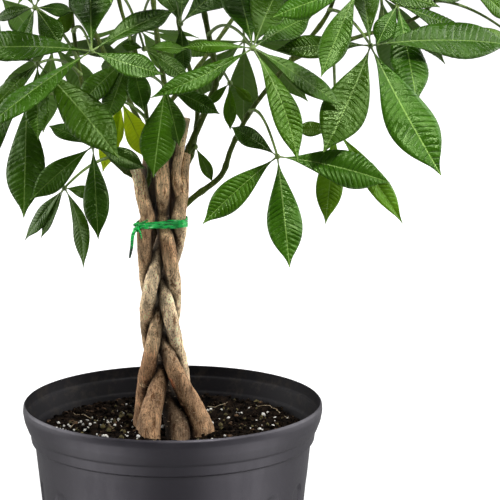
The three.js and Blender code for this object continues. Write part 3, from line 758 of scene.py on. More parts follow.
def make_roots():
    """Pale threads that wander over the ground and dip into it at both ends."""
    draw = seeded_draws(51)
    runs = []
    for _ in range(ROOT_COUNT):
        x, y = around(mix(36, 118, draw()), 2 * math.pi * draw())
        heading, bend = 2 * math.pi * draw(), mix(-0.16, 0.16, draw())
        line = []
        for k in range(ROOT_POINTS):
            lift = 1.3 * math.sin(math.pi * k / (ROOT_POINTS - 1)) - 0.4
            line.append((x, y, soil_surface(x, y) + lift))
            heading += bend + mix(-0.25, 0.25, draw())
            x += ROOT_STEP * math.cos(heading)
            y += ROOT_STEP * math.sin(heading)
            if math.hypot(x, y) > LOOSE_REACH:
                break
        if len(line) > 4:
            runs.append((line, [mix(0.4, 0.2, k / len(line)) for k in range(len(line))]))
    roots = rods("root_threads", runs, 1)
    tidy_faces(roots)
    return roots


pale_root = plain_finish("pale root", (0.18, 0.12, 0.07), (0.5, 0.42, 0.28), 300)
hand_over(make_roots(), [pale_root], "peat")

# %% [markdown]
# ## The braided stems
# In a braid of five, each stem swings from side to side, and goes in front of its neighbour on one
# side and behind it on the other. Seen from above, a stem draws a lying figure of eight as it
# climbs. So its place is one sine sideways and a sine of twice the speed in depth, and the five
# stems are the same line, each a fifth of a turn later. Towards the soil they spread and thicken.

# %% The line of a stem
STEM_FOOT = 176
TIE_HEIGHT = 410
TIE_WIDTH = 11
TIE_TOP = TIE_HEIGHT + TIE_WIDTH / 2
BRAID_PITCH = 272
BRAID_WIDTH = 12.8                   # swing to each side where the braid is tight
BRAID_DEPTH = 12.2
STRAND_RADIUS = 6.9
TRUNK_FOOT = -2
TRUNK_LEAN = -8
TRUNK_BOW = 4.5                      # the trunk bows a little to the left
FLARE_START = 300                    # below this height the stems spread and thicken
SWING_GROWTH = 1.25
DEPTH_GROWTH = 1
GIRTH_GROWTH = 0.7
FLARE_POWER = 1.55
SLOWING = 46                         # height above the soil over which the braid's turn slows down
OPENING = 45                         # height over which the stems part again below the tie
FORK_RADIUS = 5.9
FORK_TAPER = 0.58
BRAID_POINTS = 130
TOP_POINTS = 41
STEMS = {
    "stem_middle": {"phase": 0, "parting": (2, -2), "radius": 6.3,
                    "top": [(-8, -9, 440), (-7.5, -6, 470), (-7, -2, 500)]},
    "stem_right": {"phase": 72, "parting": (4.5, 1), "radius": 4.6,
                   "top": [(9, -6, 432), (11, -3, 452), (13, 0, 474)],
                   "fork": [(8, -5, 436), (3.5, -8, 455), (8, -7, 480), (15, -5, 507)]},
    "stem_back": {"phase": 144, "parting": (0, 1), "radius": 5.4,
                  "top": [(0, 14, 440), (2, 19, 470), (3, 24, 492)]},
    "stem_left": {"phase": 216, "parting": (-6, 2), "radius": 5.4,
                  "top": [(-26, -7, 432), (-29, -5, 448), (-35, -3, 464)]},
    "stem_rear": {"phase": 288, "parting": (5, 3), "radius": 5.2,
                  "top": [(-21, 11, 440), (-21, 18, 462), (-20, 25, 484)]},
}


def trunk_axis(z):
    share = (z - SOIL_LEVEL) / (TIE_HEIGHT - SOIL_LEVEL)
    return TRUNK_FOOT + TRUNK_LEAN * share - TRUNK_BOW * math.sin(math.pi * share)


def flare_at(z, growth):
    """How much wider the braid is at a height than where it is tight."""
    down = (FLARE_START - max(z, SOIL_LEVEL)) / (FLARE_START - SOIL_LEVEL)
    return 1 + growth * max(down, 0) ** FLARE_POWER


def stem_radius(z):
    return STRAND_RADIUS * flare_at(z, GIRTH_GROWTH)


def strand_at(stem, z):
    """The middle of a stem at a height between its foot and the tie."""
    whole = TIE_HEIGHT - SOIL_LEVEL
    down = min(TIE_HEIGHT - z, whole)
    late = max(0, down - (whole - SLOWING))
    turn = math.radians(stem["phase"] + 360 / BRAID_PITCH * (down - late * late / (2 * SLOWING)))
    part = eased(min(max((z - TIE_HEIGHT + OPENING) / OPENING, 0), 1))
    aside, ahead = stem["parting"]
    x = trunk_axis(max(z, SOIL_LEVEL)) + flare_at(z, SWING_GROWTH) * BRAID_WIDTH * math.sin(turn)
    y = -flare_at(z, DEPTH_GROWTH) * BRAID_DEPTH * math.sin(2 * turn)
    return np.array([x + part * aside, y + part * ahead, z])


def stem_runs(stem):
    """The stem's line from its foot to its pruned top, and that of its fork, with their radii."""
    heights = np.linspace(STEM_FOOT, TIE_TOP, BRAID_POINTS)
    line = [strand_at(stem, z) for z in heights]
    radii = [stem_radius(z) for z in heights]
    rise = [line[-1], *stem["top"]]
    steps = np.linspace(0, 1, TOP_POINTS)
    line += [along_path(rise, u) for u in steps[1:]]
    radii += [mix(STRAND_RADIUS, stem["radius"], u) for u in steps[1:]]
    runs = [(line, radii)]
    if "fork" in stem:
        runs.append(([along_path(stem["fork"], u) for u in steps],
                     FORK_RADIUS * mix(1, FORK_TAPER, steps)))
    return runs


print("stems spread to", round(stem_radius(SOIL_LEVEL), 1), "mm radius at the soil")

# %% [markdown]
# Bark needs three things. The form is uneven, with low lumps, long ribs and small pits. The colour
# changes along a stem, between sand, fawn, rust and dark browns, so it is painted on the corners by
# height, with a few larger scars. Where stems meet, dirt and shade make a dark line, and a stem that
# stands close in front of the bark shades it, so such corners get painted shade and dirt. The small
# marks are left to the nodes.

# %% Relief and colour of the bark
FAWN = (0.33, 0.225, 0.128)
SAND = (0.455, 0.355, 0.228)
TAUPE = (0.19, 0.115, 0.062)
RUST = (0.235, 0.135, 0.072)
SMOKE = (0.115, 0.076, 0.045)
BARK_BRIGHTNESS = 1.76
LOOKS_AHEAD = (4, 8, 13)             # how far in front of the bark another stem can cast painted shade on it
CREVICE = 2.6                        # painted shade and dirt darken the bark this near to another stem
CREVICE_DARK = 0.985                 # how much of the colour the painted shade and dirt take
LUMP, LUMP_HEIGHT = (14, 26), 0.6    # width and height of the bark's lumps, and how far they rise
RIB, RIB_HEIGHT = (3.2, 22), 0.7
PIT, PIT_DEPTH = (2.2, 4), 1.2
DRIFT, DRIFT_REACH = (24, 24), 14    # slow noise that shifts the colours up and down
BLOTCH = (4.5, 9)
SCARRED_BELOW = (0.31, 0.27)         # metres between which the pale rings set in
BARK_BY_HEIGHT = {
    "stem_middle": [(176, TAUPE), (235, TAUPE), (265, TAUPE), (300, SAND), (345, SAND), (372, FAWN),
                    (388, RUST), (398, FAWN), (440, FAWN), (500, FAWN)],
    "stem_right": [(176, TAUPE), (225, RUST), (285, RUST), (300, FAWN), (350, SAND), (395, SAND),
                   (430, FAWN), (455, FAWN), (510, SAND)],
    "stem_back": [(176, SMOKE), (240, SMOKE), (300, FAWN), (345, SAND), (375, SAND), (410, TAUPE),
                  (492, SMOKE)],
    "stem_left": [(176, TAUPE), (240, TAUPE), (275, TAUPE), (330, SAND), (370, FAWN), (405, TAUPE),
                  (440, FAWN), (464, SAND)],
    "stem_rear": [(176, SMOKE), (240, TAUPE), (275, SAND), (350, SAND), (380, FAWN), (410, SMOKE),
                  (484, SMOKE)],
}

# Scars that show from the front: the stem, the place across and up, half width and height, colour.
BARK_MARKS = [("stem_left", -4, 257, 6, 10, (0.40, 0.13, 0.06)),
              ("stem_left", -7, 261, 2, 4, (0.85, 0.70, 0.50)),
              ("stem_right", -28, 256, 4, 2, (0.75, 0.50, 0.30)),
              ("stem_left", 6, 240, 4, 1.5, (0.60, 0.42, 0.26)),
              ("stem_rear", 5, 458, 7, 12, (0.62, 0.42, 0.30)),
              ("stem_middle", 14, 325, 5, 4, (0.12, 0.07, 0.04))]


def marked(name, x, y, z, tint):
    """The tint where a scar lies on the bark, seen from the front."""
    for stem, across, height, wide, high, colour in BARK_MARKS:
        off = ((x - across) / wide) ** 2 + ((z - height) / high) ** 2
        if stem == name and y < 0 and off < 1:
            tint = mix(tint, np.array(colour), min(3 * (1 - off), 1))
    return tint


def bark_colour(name, z):
    heights, colours = zip(*BARK_BY_HEIGHT[name])
    return np.array([np.interp(z, heights, channel) for channel in zip(*colours)])


def lumpy(x, y, z, across, up, shift):
    """Noise whose lumps are this wide and this high, in millimetres."""
    return noise.noise(Vector((x / across, y / across, z / up)) + shift)


def room_to_others(name, spots):
    """How far each place is from the nearest surface of the other stems."""
    clear = np.full(len(spots), 99.0)
    for other, stem in STEMS.items():
        if other != name:
            for line, radii in stem_runs(stem):
                line = np.array(line)
                middle = [np.interp(spots[:, 2], line[:, 2], line[:, axis]) for axis in range(2)]
                apart = np.hypot(spots[:, 0] - middle[0], spots[:, 1] - middle[1])
                apart -= np.interp(spots[:, 2], line[:, 2], radii)
                inside = (spots[:, 2] > line[0, 2]) & (spots[:, 2] < line[-1, 2])
                clear = np.where(inside, np.minimum(clear, apart), clear)
    return clear


def crevice_shade_and_dirt(name, spots, normals):
    """The painted shade and dirt of each corner: 1 where another stem touches it or stands close in
    front of it.
    """
    shade_and_dirt = np.clip(1 - room_to_others(name, spots) / CREVICE, 0, 1)
    for ahead in LOOKS_AHEAD:
        faced = 1.15 - room_to_others(name, spots + ahead * normals) / (0.75 * ahead)
        shade_and_dirt = np.maximum(shade_and_dirt, np.clip(faced, 0, 1) * (1 - 0.012 * ahead))
    return shade_and_dirt


def weathered(stem, name, seed):
    """Pushes the stem's corners in and out along their normals and paints its colours, with painted
    shade near other stems.
    """
    spots, normals = corners(stem), corner_normals(stem)
    shade_and_dirt = crevice_shade_and_dirt(name, spots, normals)
    shift = Vector((seed * 17.3, seed * 5.1, seed * 9.7))
    tints = np.empty((len(spots), 4))
    for k, (x, y, z) in enumerate(spots):
        lumps = lumpy(x, y, z, *LUMP, shift)
        ribs = lumpy(x, y, z, *RIB, shift)
        pits = max(0, lumpy(x, y, z, *PIT, shift) - 0.25)
        spots[k] += normals[k] * (LUMP_HEIGHT * lumps + RIB_HEIGHT * ribs - PIT_DEPTH * pits)
        drift = DRIFT_REACH * lumpy(x, y, z, *DRIFT, shift)
        blotch = lumpy(x, y, z, *BLOTCH, 2 * shift)
        tint = bark_colour(name, z + drift) * (1 + 0.5 * lumps + 0.4 * ribs + 0.55 * blotch)
        # painted shade: corners in a crevice, or with a stem close in front, are darkened
        tint = marked(name, x, y, z, tint) * BARK_BRIGHTNESS * (1 - CREVICE_DARK * shade_and_dirt[k])
        tints[k] = (*np.clip(tint, 0, 1), 1)
    move_corners(stem, spots)
    painted = stem.data.color_attributes.new("bark_tint", "FLOAT_COLOR", "POINT")
    painted.data.foreach_set("color", tints.ravel())


def stem_bark():
    material, tree = new_finish("young bark", 0.82, 0.3)
    tint = add(tree, "Attribute", attribute_name="bark_tint").outputs["Color"]
    threads = grain(tree, 900, 5, 0.65, (1, 1, 0.12))
    pores = grain(tree, 820, 3, 0.65, (1, 1, 0.55))
    cracks = grain(tree, 260, 5, 0.7, (1, 1, 0.22))
    scars = grain(tree, 420, 3, 0.6, (0.5, 0.5, 1.5))
    light = blend(tree, 1.0, tint, (1.80, 1.77, 1.72), "MULTIPLY")
    dark = blend(tree, 1.0, tint, (0.42, 0.30, 0.22), "MULTIPLY")
    colour = over(tree, tint, threads, 0.44, 0.62, light)
    colour = over(tree, colour, cracks, 0.48, 0.36, dark)
    colour = over(tree, colour, pores, 0.55, 0.62, (0.075, 0.038, 0.018), 0.8)
    low_down = between(tree, height_above_floor(tree), *SCARRED_BELOW)
    ringed = maths(tree, "MULTIPLY", between(tree, scars, 0.63, 0.68), low_down)
    colour = blend(tree, ringed, colour, (0.50, 0.36, 0.22))
    relief = maths(tree, "SUBTRACT", maths(tree, "ADD", threads, cracks), pores)
    return surfaced(material, colour, relief, 0.0012, 0.9)


bark = stem_bark()
for order, (name, stem) in enumerate(STEMS.items()):
    fine_stem = rods("fine_" + name, stem_runs(stem), 12)
    tidy_faces(fine_stem)
    weathered(fine_stem, name, order)
    hand_over(fine_stem, [bark], "bark", name)

# %% [markdown]
# ## The ribbon
# A strip of glossy green plastic holds the stems. It was pulled tight, so seen from above it runs
# straight from one stem to the next, and creases where it is squeezed. Its ends are twisted
# together on the left, and one hangs down.

# %% The tight loop
TIE_THICKNESS = 1.2
STRIP_THICKNESS = 0.4                # of one layer
LOOP_STEPS = 220
LOOP_ROWS = 9
LOOP_MIDDLE = -10                    # the loop's middle, measured across
LOOP_SLANT = 0.035                   # it rises this much to the right
LOOP_CREASE = 0.8
CREASE_SIZE = (5, 1.6)
KNOT_TURN = math.radians(212)        # where the ribbon is twisted, round from the right
KNOT_SIDE = np.array([-0.85, -0.53])
WRAP_POINTS = 34
WRAP_TURNS = 1.8
TAIL = [(0, 0, 0), (-3, -2, -7), (-4, -2, -17), (-6, -1, -28)]
DARK_BELOW = (0.398, 0.386)          # metres; the hanging tail lies in the shade


def tight_outline(clear):
    """The hull of the stems' round sections, seen from above, as corners in order."""
    dots = []
    for stem in STEMS.values():
        for z in (TIE_HEIGHT - TIE_WIDTH / 2, TIE_HEIGHT, TIE_TOP):
            x, y, _ = strand_at(stem, z)
            reach = stem_radius(z) + clear
            dots += [(x + reach * math.cos(math.pi * k / 6), y + reach * math.sin(math.pi * k / 6))
                     for k in range(12)]
    dots.sort()

    def half(points):
        chain = []
        for dot in points:
            while len(chain) > 1:
                (ax, ay), (bx, by) = chain[-2], chain[-1]
                if (bx - ax) * (dot[1] - ay) - (by - ay) * (dot[0] - ax) > 0.5:
                    break
                chain.pop()
            chain.append(dot)
        return chain[:-1]

    return np.array(half(dots) + half(dots[::-1]))


def evenly(loop, count):
    """Points at equal steps round a closed loop of corners."""
    closed = np.vstack([loop, loop[:1]])
    run = np.concatenate([[0], np.cumsum(np.linalg.norm(np.diff(closed, axis=0), axis=1))])
    steps = np.linspace(0, run[-1], count, endpoint=False)
    return np.column_stack([np.interp(steps, run, closed[:, axis]) for axis in range(2)])


def make_loop():
    """The creased band round the stems."""
    middle = evenly(tight_outline(GAP + 0.5 * TIE_THICKNESS), LOOP_STEPS)
    ahead = np.roll(middle, -2, axis=0) - np.roll(middle, 2, axis=0)
    ahead /= np.linalg.norm(ahead, axis=1)[:, None]
    outward = np.column_stack([ahead[:, 1], -ahead[:, 0]])
    spots = []
    for (x, y), (ox, oy) in zip(middle, outward):
        turn = math.atan2(y, x - LOOP_MIDDLE)
        squeeze = 0.78 + 0.22 * noise.noise(Vector((math.cos(turn) * 2, math.sin(turn) * 2, 3)))
        squeeze *= 0.85 - 0.2 * math.cos(turn - KNOT_TURN)
        for row in range(LOOP_ROWS):
            height = (row / (LOOP_ROWS - 1) - 0.5) * TIE_WIDTH * squeeze
            crease = LOOP_CREASE * lumpy(x, y, height, *CREASE_SIZE, Vector())
            z = TIE_HEIGHT + height + LOOP_SLANT * (x - LOOP_MIDDLE)
            spots.append((x + ox * crease, y + oy * crease, z))
    faces = [(k * LOOP_ROWS + r, (k + 1) % LOOP_STEPS * LOOP_ROWS + r,
              (k + 1) % LOOP_STEPS * LOOP_ROWS + r + 1, k * LOOP_ROWS + r + 1)
             for k in range(LOOP_STEPS) for r in range(LOOP_ROWS - 1)]
    band = mesh_piece("fine_tie", spots, faces)
    tidy_faces(band)
    apply_modifier(band, "SOLIDIFY", thickness=STRIP_THICKNESS * MM, offset=0)
    return band


def make_knot():
    """The twisted ends: two wraps over the band, a short end and the hanging tail."""
    outline = tight_outline(GAP + TIE_THICKNESS)
    x, y = outline[np.argmax(outline @ KNOT_SIDE)] + KNOT_SIDE
    z = TIE_HEIGHT - 3

    def strip(offsets, count):
        path = np.array(offsets) + (x, y, z)
        return [along_path(path, u) for u in np.linspace(0, 1, count)]

    wraps = []
    for k in range(WRAP_POINTS):
        share = k / (WRAP_POINTS - 1)
        turn = 2 * math.pi * WRAP_TURNS * share
        wraps.append((x + 1.4 * math.cos(turn), y + 1.2 * math.sin(turn), z - 3 + 7 * share))
    short_end = strip([(1, -1.5, 1), (4, -3, -4), (5, -3, -10)], 12)
    across = strip([(0, -1, -1), (4, -2.6, 4), (11, -4.5, 8)], 16)
    tail_radii = np.interp(np.linspace(0, 1, 24), [0, 0.25, 0.8, 1], [1.5, 1.8, 1.5, 0.8])
    return rods("knot", [
        (strip(TAIL, 24), tail_radii),
        (wraps, np.full(WRAP_POINTS, 1.3)),
        (short_end, np.linspace(1.3, 0.5, 12)),
        (across, np.linspace(1.2, 0.7, 16)),
    ], 3)


def ribbon_plastic():
    """Bright and deep green streaks, painted highlights, and painted shade on folds and the near-black
    tail.
    """
    material, tree = new_finish("green ribbon", 0.2, 0.4, coat_weight=0.2, coat_roughness=0.08)
    streaks = grain(tree, 380, 4, 0.6, (0.35, 0.35, 2.4))
    painted_fold_shade = grain(tree, 170, 3, 0.55, (1, 1, 2.2))
    colour = over(tree, (0.0, 0.05, 0.010), streaks, 0.36, 0.50, (0.005, 0.66, 0.10))
    # painted shade: dark folds
    colour = over(tree, colour, painted_fold_shade, 0.42, 0.35, (0.0, 0.02, 0.005), 0.9)
    # painted highlight: pale glints on the brightest streaks
    colour = over(tree, colour, streaks, 0.62, 0.67, (0.55, 0.98, 0.60), 0.7)
    # painted shade: the hanging tail is darkened below these heights
    colour = over(tree, colour, height_above_floor(tree), *DARK_BELOW, (0.004, 0.010, 0.008), 0.95)
    return surfaced(material, colour, streaks, 0.0012, 0.8)


tie = make_loop()
knot = make_knot()
pick(tie, knot)
bpy.ops.object.join()
tidy_faces(tie)
tie.data.materials.clear()
hand_over(tie, [ribbon_plastic()], "ribbon", "tie")

# %% [markdown]
# ## The green shoots
# The shoots are this year's growth: smooth, round and green, with a slight swelling at each place
# where a leaf sits or sat. They are drawn as curves whose radius falls towards the tip and rises a
# little at each of those places.

# %% Lines of the shoots
SHOOTS = {
    "right": {"radius": 3.4, "line": [(12, 0, 466), (17, -2, 480), (35, -8, 523), (41, -10, 546),
                                      (33, -5, 590), (24, 5, 640), (22, 8, 690)]},
    "upright": {"radius": 2.7, "line": [(11, 1, 458), (20, 11, 476), (24, 15, 521), (11, 22, 571),
                                        (5, 27, 612), (-2, 35, 670)]},
    "arching": {"radius": 2.9,
                "line": [(6, -5, 420), (21, -5, 434), (45, -5, 453), (54, -8, 477), (62, -10, 495),
                         (76, -17, 520), (107, -35, 562), (140, -48, 606), (152, -46, 655)],
                "fork": [(107, -35, 562), (132, -32, 572), (170, -22, 582), (225, 0, 598),
                         (258, 12, 632)]},
    "left": {"radius": 2.8, "line": [(-31, -5, 452), (-45, -7, 461), (-62, -12, 483),
                                     (-78, -15, 529), (-88, -15, 597), (-90, -10, 655)]},
    "inner": {"radius": 2.5, "line": [(-27, -6, 437), (-21, -1, 449), (-20, 3, 465), (-22, 6, 504),
                                      (-30, 10, 558), (-46, 20, 608), (-56, 25, 675)]},
    "back": {"radius": 3,
             "line": [(3, 22, 484), (-3, 38, 514), (-14, 78, 585), (-18, 103, 645), (-16, 108, 690)],
             "fork": [(-3, 38, 514), (18, 48, 538), (60, 78, 592), (88, 96, 640), (94, 100, 690)]},
    "rear": {"radius": 2.7, "line": [(-20, 24, 478), (-38, 44, 515), (-72, 72, 580), (-92, 84, 640),
                                     (-95, 86, 680)]},
}
SHOOT_TIP = 0.6                      # of its radius is left at a shoot's tip
FORK_GIRTH = 0.8                     # of the shoot's radius
SHOOT_NODES = (0.16, 0.3, 0.45, 0.58, 0.7, 0.84)     # places along a shoot that carry a leaf scar
SCAR_SWELL, SCAR_REACH = 0.22, 0.012                 # of the radius, and of the shoot's length
FOOT_SWELL, FOOT_REACH = 0.35, 0.035


def shoot_run(line, radius):
    steps = np.linspace(0, 1, 12 * len(line))
    scars = sum(SCAR_SWELL * np.exp(-(((steps - node) / SCAR_REACH) ** 2)) for node in SHOOT_NODES)
    foot = FOOT_SWELL * np.exp(-((steps / FOOT_REACH) ** 2))
    radii = radius * mix(1, SHOOT_TIP, steps) * (1 + scars + foot)
    return [along_path(line, u) for u in steps], radii


def shoot_runs(shoot):
    runs = [shoot_run(shoot["line"], shoot["radius"])]
    if "fork" in shoot:
        runs.append(shoot_run(shoot["fork"], FORK_GIRTH * shoot["radius"]))
    return runs


def green_bark():
    material, tree = new_finish("green bark", 0.6, 0.18)
    streaks = grain(tree, 500, 4, 0.6, (1, 1, 0.2))
    dots = grain(tree, 650, 1, 0.4, (1, 1, 0.6))
    colour = over(tree, (0.026, 0.046, 0.004), streaks, 0.3, 0.7, (0.085, 0.13, 0.012))
    colour = over(tree, colour, dots, 0.66, 0.72, (0.25, 0.2, 0.1), 0.8)
    return surfaced(material, colour, maths(tree, "ADD", streaks, dots), 0.0004, 0.7)


shoot_bark = green_bark()
for name, shoot in SHOOTS.items():
    fine_shoot = rods("fine_shoot_" + name, shoot_runs(shoot), 5)
    tidy_faces(fine_shoot)
    hand_over(fine_shoot, [shoot_bark], "green_bark", "shoot_" + name)

# %% [markdown]
# ## The leaves
# A leaf is a hand of up to seven leaflets on one long stalk. First one leaflet is modelled flat:
# a grid whose rows follow the side veins, narrowed to the blade's outline and puffed up between
# the veins. Then each leaflet of the plant is a copy of it, bent along its own midrib.

# %% One flat leaflet
VEINS = 20                           # pairs of side veins
ROWS_TO_A_VEIN = 4
BLADE_ROWS = VEINS * ROWS_TO_A_VEIN
BLADE_COLUMNS = (-1, -0.78, -0.52, -0.27, -0.09, 0, 0.09, 0.27, 0.52, 0.78, 1)
HALF_WIDTH = 0.16                    # of the leaflet's length
VEIN_SWEEP = 0.5                     # how far a side vein climbs, of its run outwards
VEIN_CROWDING = 0.2                  # how much closer they lie towards the tip
VEIN_WANDER = 0.010                  # how uneven the veins' spacing is, of the blade's length
PUFF = 0.0072                        # height of the quilting, of the leaflet's length
BLADE_START = 0.055                  # the blade begins this far along the midrib
FLATTENED = 0.16                     # share of the half-width beside the midrib that isn't puffed
BLADE_OUTLINE = [(0, 0.02), (0.08, 0.12), (0.2, 0.42), (0.33, 0.76), (0.44, 0.95), (0.52, 1.0),
                 (0.62, 0.94), (0.73, 0.73), (0.83, 0.44), (0.9, 0.22), (0.96, 0.08), (1, 0.012)]


def half_width_at(t):
    """The blade's half-width, of its greatest, on a smooth line through the outline's points."""
    known_t, known_w = np.array(BLADE_OUTLINE).T
    slopes = np.gradient(known_w, known_t)
    k = np.clip(np.searchsorted(known_t, t) - 1, 0, len(known_t) - 2)
    step = known_t[k + 1] - known_t[k]
    return joined((t - known_t[k]) / step, known_w[k], known_w[k + 1], step * slopes[k],
                  step * slopes[k + 1])


def vein_places(row, side):
    """Where each row lies along the blade: the veins are uneven and take turns on the two sides."""
    alternate = 0.25 / VEINS * np.clip(side / BLADE_COLUMNS[6], -1, 1)
    wander = VEIN_WANDER * np.sin(19 * row + 2 * np.sign(side))
    denser = VEIN_CROWDING * row * (1 - row)
    return row + denser + (alternate + wander) * np.sin(np.pi * row)


def flat_leaflet():
    """The leaflet, 1 m long and pressed flat, with its quilting and with its layout as UV map."""
    bpy.ops.object.select_all(action="DESELECT")
    columns = len(BLADE_COLUMNS) - 1
    bpy.ops.mesh.primitive_grid_add(x_subdivisions=columns, y_subdivisions=BLADE_ROWS, size=2)
    leaflet = bpy.context.object
    leaflet.name = "flat_leaflet"
    spots = corners(leaflet) * MM
    column = np.rint((spots[:, 0] + 1) / 2 * columns).astype(int)
    side = np.array(BLADE_COLUMNS)[column]
    row = (spots[:, 1] + 1) / 2
    share = vein_places(row, side)
    wide = half_width_at(share)
    x = side * wide * HALF_WIDTH
    climb = VEIN_SWEEP * np.abs(x) * (0.55 + 0.45 * np.abs(side))
    y = BLADE_START + (1 - BLADE_START) * share + climb
    cell = (row * VEINS) % 1
    pillow = 1 - np.abs(2 * cell - 1) ** 2.4
    inner = 1 - np.exp(-((side / FLATTENED) ** 2))
    outer_half = np.interp(row, [0.2, 0.6], [0.4, 1.3])
    z = PUFF * pillow * inner * outer_half * np.sqrt(wide) * (1 - 0.45 * side**4)
    move_corners(leaflet, np.column_stack([x, y, z]) / MM)
    uv = leaflet.data.uv_layers.active.data
    corner_of = np.empty(len(leaflet.data.loops), int)
    leaflet.data.loops.foreach_get("vertex_index", corner_of)
    uv.foreach_set("uv", np.column_stack([0.5 + x[corner_of], row[corner_of]]).ravel())
    return leaflet


# %% [markdown]
# The colours of a leaf are laid out on that flat leaflet, so they follow its veins: a pale midrib
# and, on the upper side, side veins whose creases get painted shade, here deep and there worn
# smooth. Two numbers painted on each leaflet set its age: "tone" makes it yellower and lets light
# shine through it, and "depth" makes its green darker or lighter; for some leaflets, and for the
# leaves on the left, depth is painted light and shade. The upper side is waxy, the underside paler
# and duller, and stalks are yellow-green.

# %% Leaf finishes
def vein_lines(tree):
    """Two masks from the flat layout: the midrib, and the side veins."""
    layout = add(tree, "UVMap").outputs["UV"]
    parts = add(tree, "SeparateXYZ", {0: layout})
    off_rib = maths(tree, "ABSOLUTE", maths(tree, "SUBTRACT", parts.outputs[0], 0.5))
    cell = maths(tree, "FRACT", maths(tree, "MULTIPLY", parts.outputs[1], float(VEINS)))
    off_vein = maths(tree, "ABSOLUTE", maths(tree, "SUBTRACT", cell, 0.5))
    worn = grain(tree, 55, 3, 0.5)
    midrib = between(tree, off_rib, 0.006, 0.003)
    shown = between(tree, worn, 0.42, 0.62, 0.05, 1)
    side_vein = maths(tree, "MULTIPLY", between(tree, off_vein, 0.36, 0.5), shown)
    return midrib, side_vein


def own_number(tree, name):
    """A number that was painted on the leaflet."""
    return add(tree, "Attribute", attribute_name=name).outputs["Fac"]


def shaded(tree, colour):
    """The colour scaled by the leaflet's depth: its own depth of green, and painted light and shade on
    some.
    """
    wires = {"Value": own_number(tree, "depth"), "Color": colour}
    return add(tree, "HueSaturation", wires).outputs["Color"]


def lets_light_through(tree, tone, vein):
    """A thin young blade glows where light falls on its other side: more so the higher its tone."""
    colour = over(tree, (0.62, 0.88, 0.14), vein, 0, 1, (0.24, 0.50, 0.05), 0.5)
    colour = over(tree, colour, grain(tree, 45, 5), 0.35, 0.65, (0.34, 0.62, 0.06), 0.5)
    colour = over(tree, colour, tone, 0.4, 0.9, (0.82, 0.86, 0.12), 0.8)
    colour = over(tree, colour, vein, 0, 1, (0.30, 0.42, 0.05), 0.45)
    glow = add(tree, "BsdfTranslucent", {"Color": colour}).outputs[0]
    skin = tree.nodes["Principled BSDF"].outputs[0]
    mixed = add(tree, "MixShader", {0: between(tree, tone, 0.1, 1, 0, 0.85), 1: skin, 2: glow})
    tree.links.new(mixed.outputs[0], tree.nodes["Material Output"].inputs["Surface"])


def leaf_upper():
    material, tree = new_finish("leaf, upper side", 0.32, 0.38, specular_tint=(0.70, 1.0, 0.40))
    tone = own_number(tree, "tone")
    midrib, side_vein = vein_lines(tree)
    mottle = grain(tree, 45, 5)
    fine = grain(tree, 700, 3)
    green = over(tree, (0.0075, 0.039, 0.0006), mottle, 0.3, 0.7, (0.029, 0.102, 0.0018))
    green = blend(tree, tone, green, (0.30, 0.56, 0.015))
    green = over(tree, green, fine, 0.3, 0.7, (0.075, 0.18, 0.010), 0.2)
    # painted shade in the creases of the side veins
    green = over(tree, green, side_vein, 0, 1, (0.008, 0.034, 0.003), 0.3)
    green = over(tree, green, midrib, 0, 1, (0.20, 0.33, 0.07), 0.8)
    lets_light_through(tree, tone, maths(tree, "MAXIMUM", side_vein, midrib))
    set_input(material, "Roughness", between(tree, mottle, 0.38, 0.62, 0.15, 0.38))
    crumpled = between(tree, grain(tree, 30, 2, 0.5), 0.46, 0.60, 0.3, 3.0)
    crumple = maths(tree, "MULTIPLY", grain(tree, 260, 3, 0.55), crumpled)
    creased = maths(tree, "MULTIPLY", side_vein, 1.8)
    relief = maths(tree, "SUBTRACT", maths(tree, "ADD", fine, crumple), creased)
    return surfaced(material, shaded(tree, green), relief, 0.0004, 0.9)


def leaf_under():
    material, tree = new_finish("leaf, underside", 0.5, 0.3)
    tone = own_number(tree, "tone")
    midrib, side_vein = vein_lines(tree)
    green = over(tree, (0.040, 0.115, 0.010), grain(tree, 60), 0.3, 0.7, (0.075, 0.175, 0.020))
    green = blend(tree, tone, green, (0.30, 0.60, 0.04))
    green = over(tree, green, side_vein, 0, 1, (0.14, 0.27, 0.05), 0.4)
    green = over(tree, green, midrib, 0, 1, (0.32, 0.45, 0.16), 0.8)
    lets_light_through(tree, tone, maths(tree, "MAXIMUM", side_vein, midrib))
    return surfaced(material, shaded(tree, green), side_vein, 0.0004, 0.8)


def leaf_stalk():
    material, tree = new_finish("leaf stalk", 0.45, 0.45)
    streaks = grain(tree, 300, 3, 0.6, (1, 1, 0.4))
    colour = over(tree, (0.06, 0.11, 0.015), streaks, 0.3, 0.7, (0.21, 0.31, 0.07))
    return surfaced(material, colour, streaks, 0.0002, 0.5)


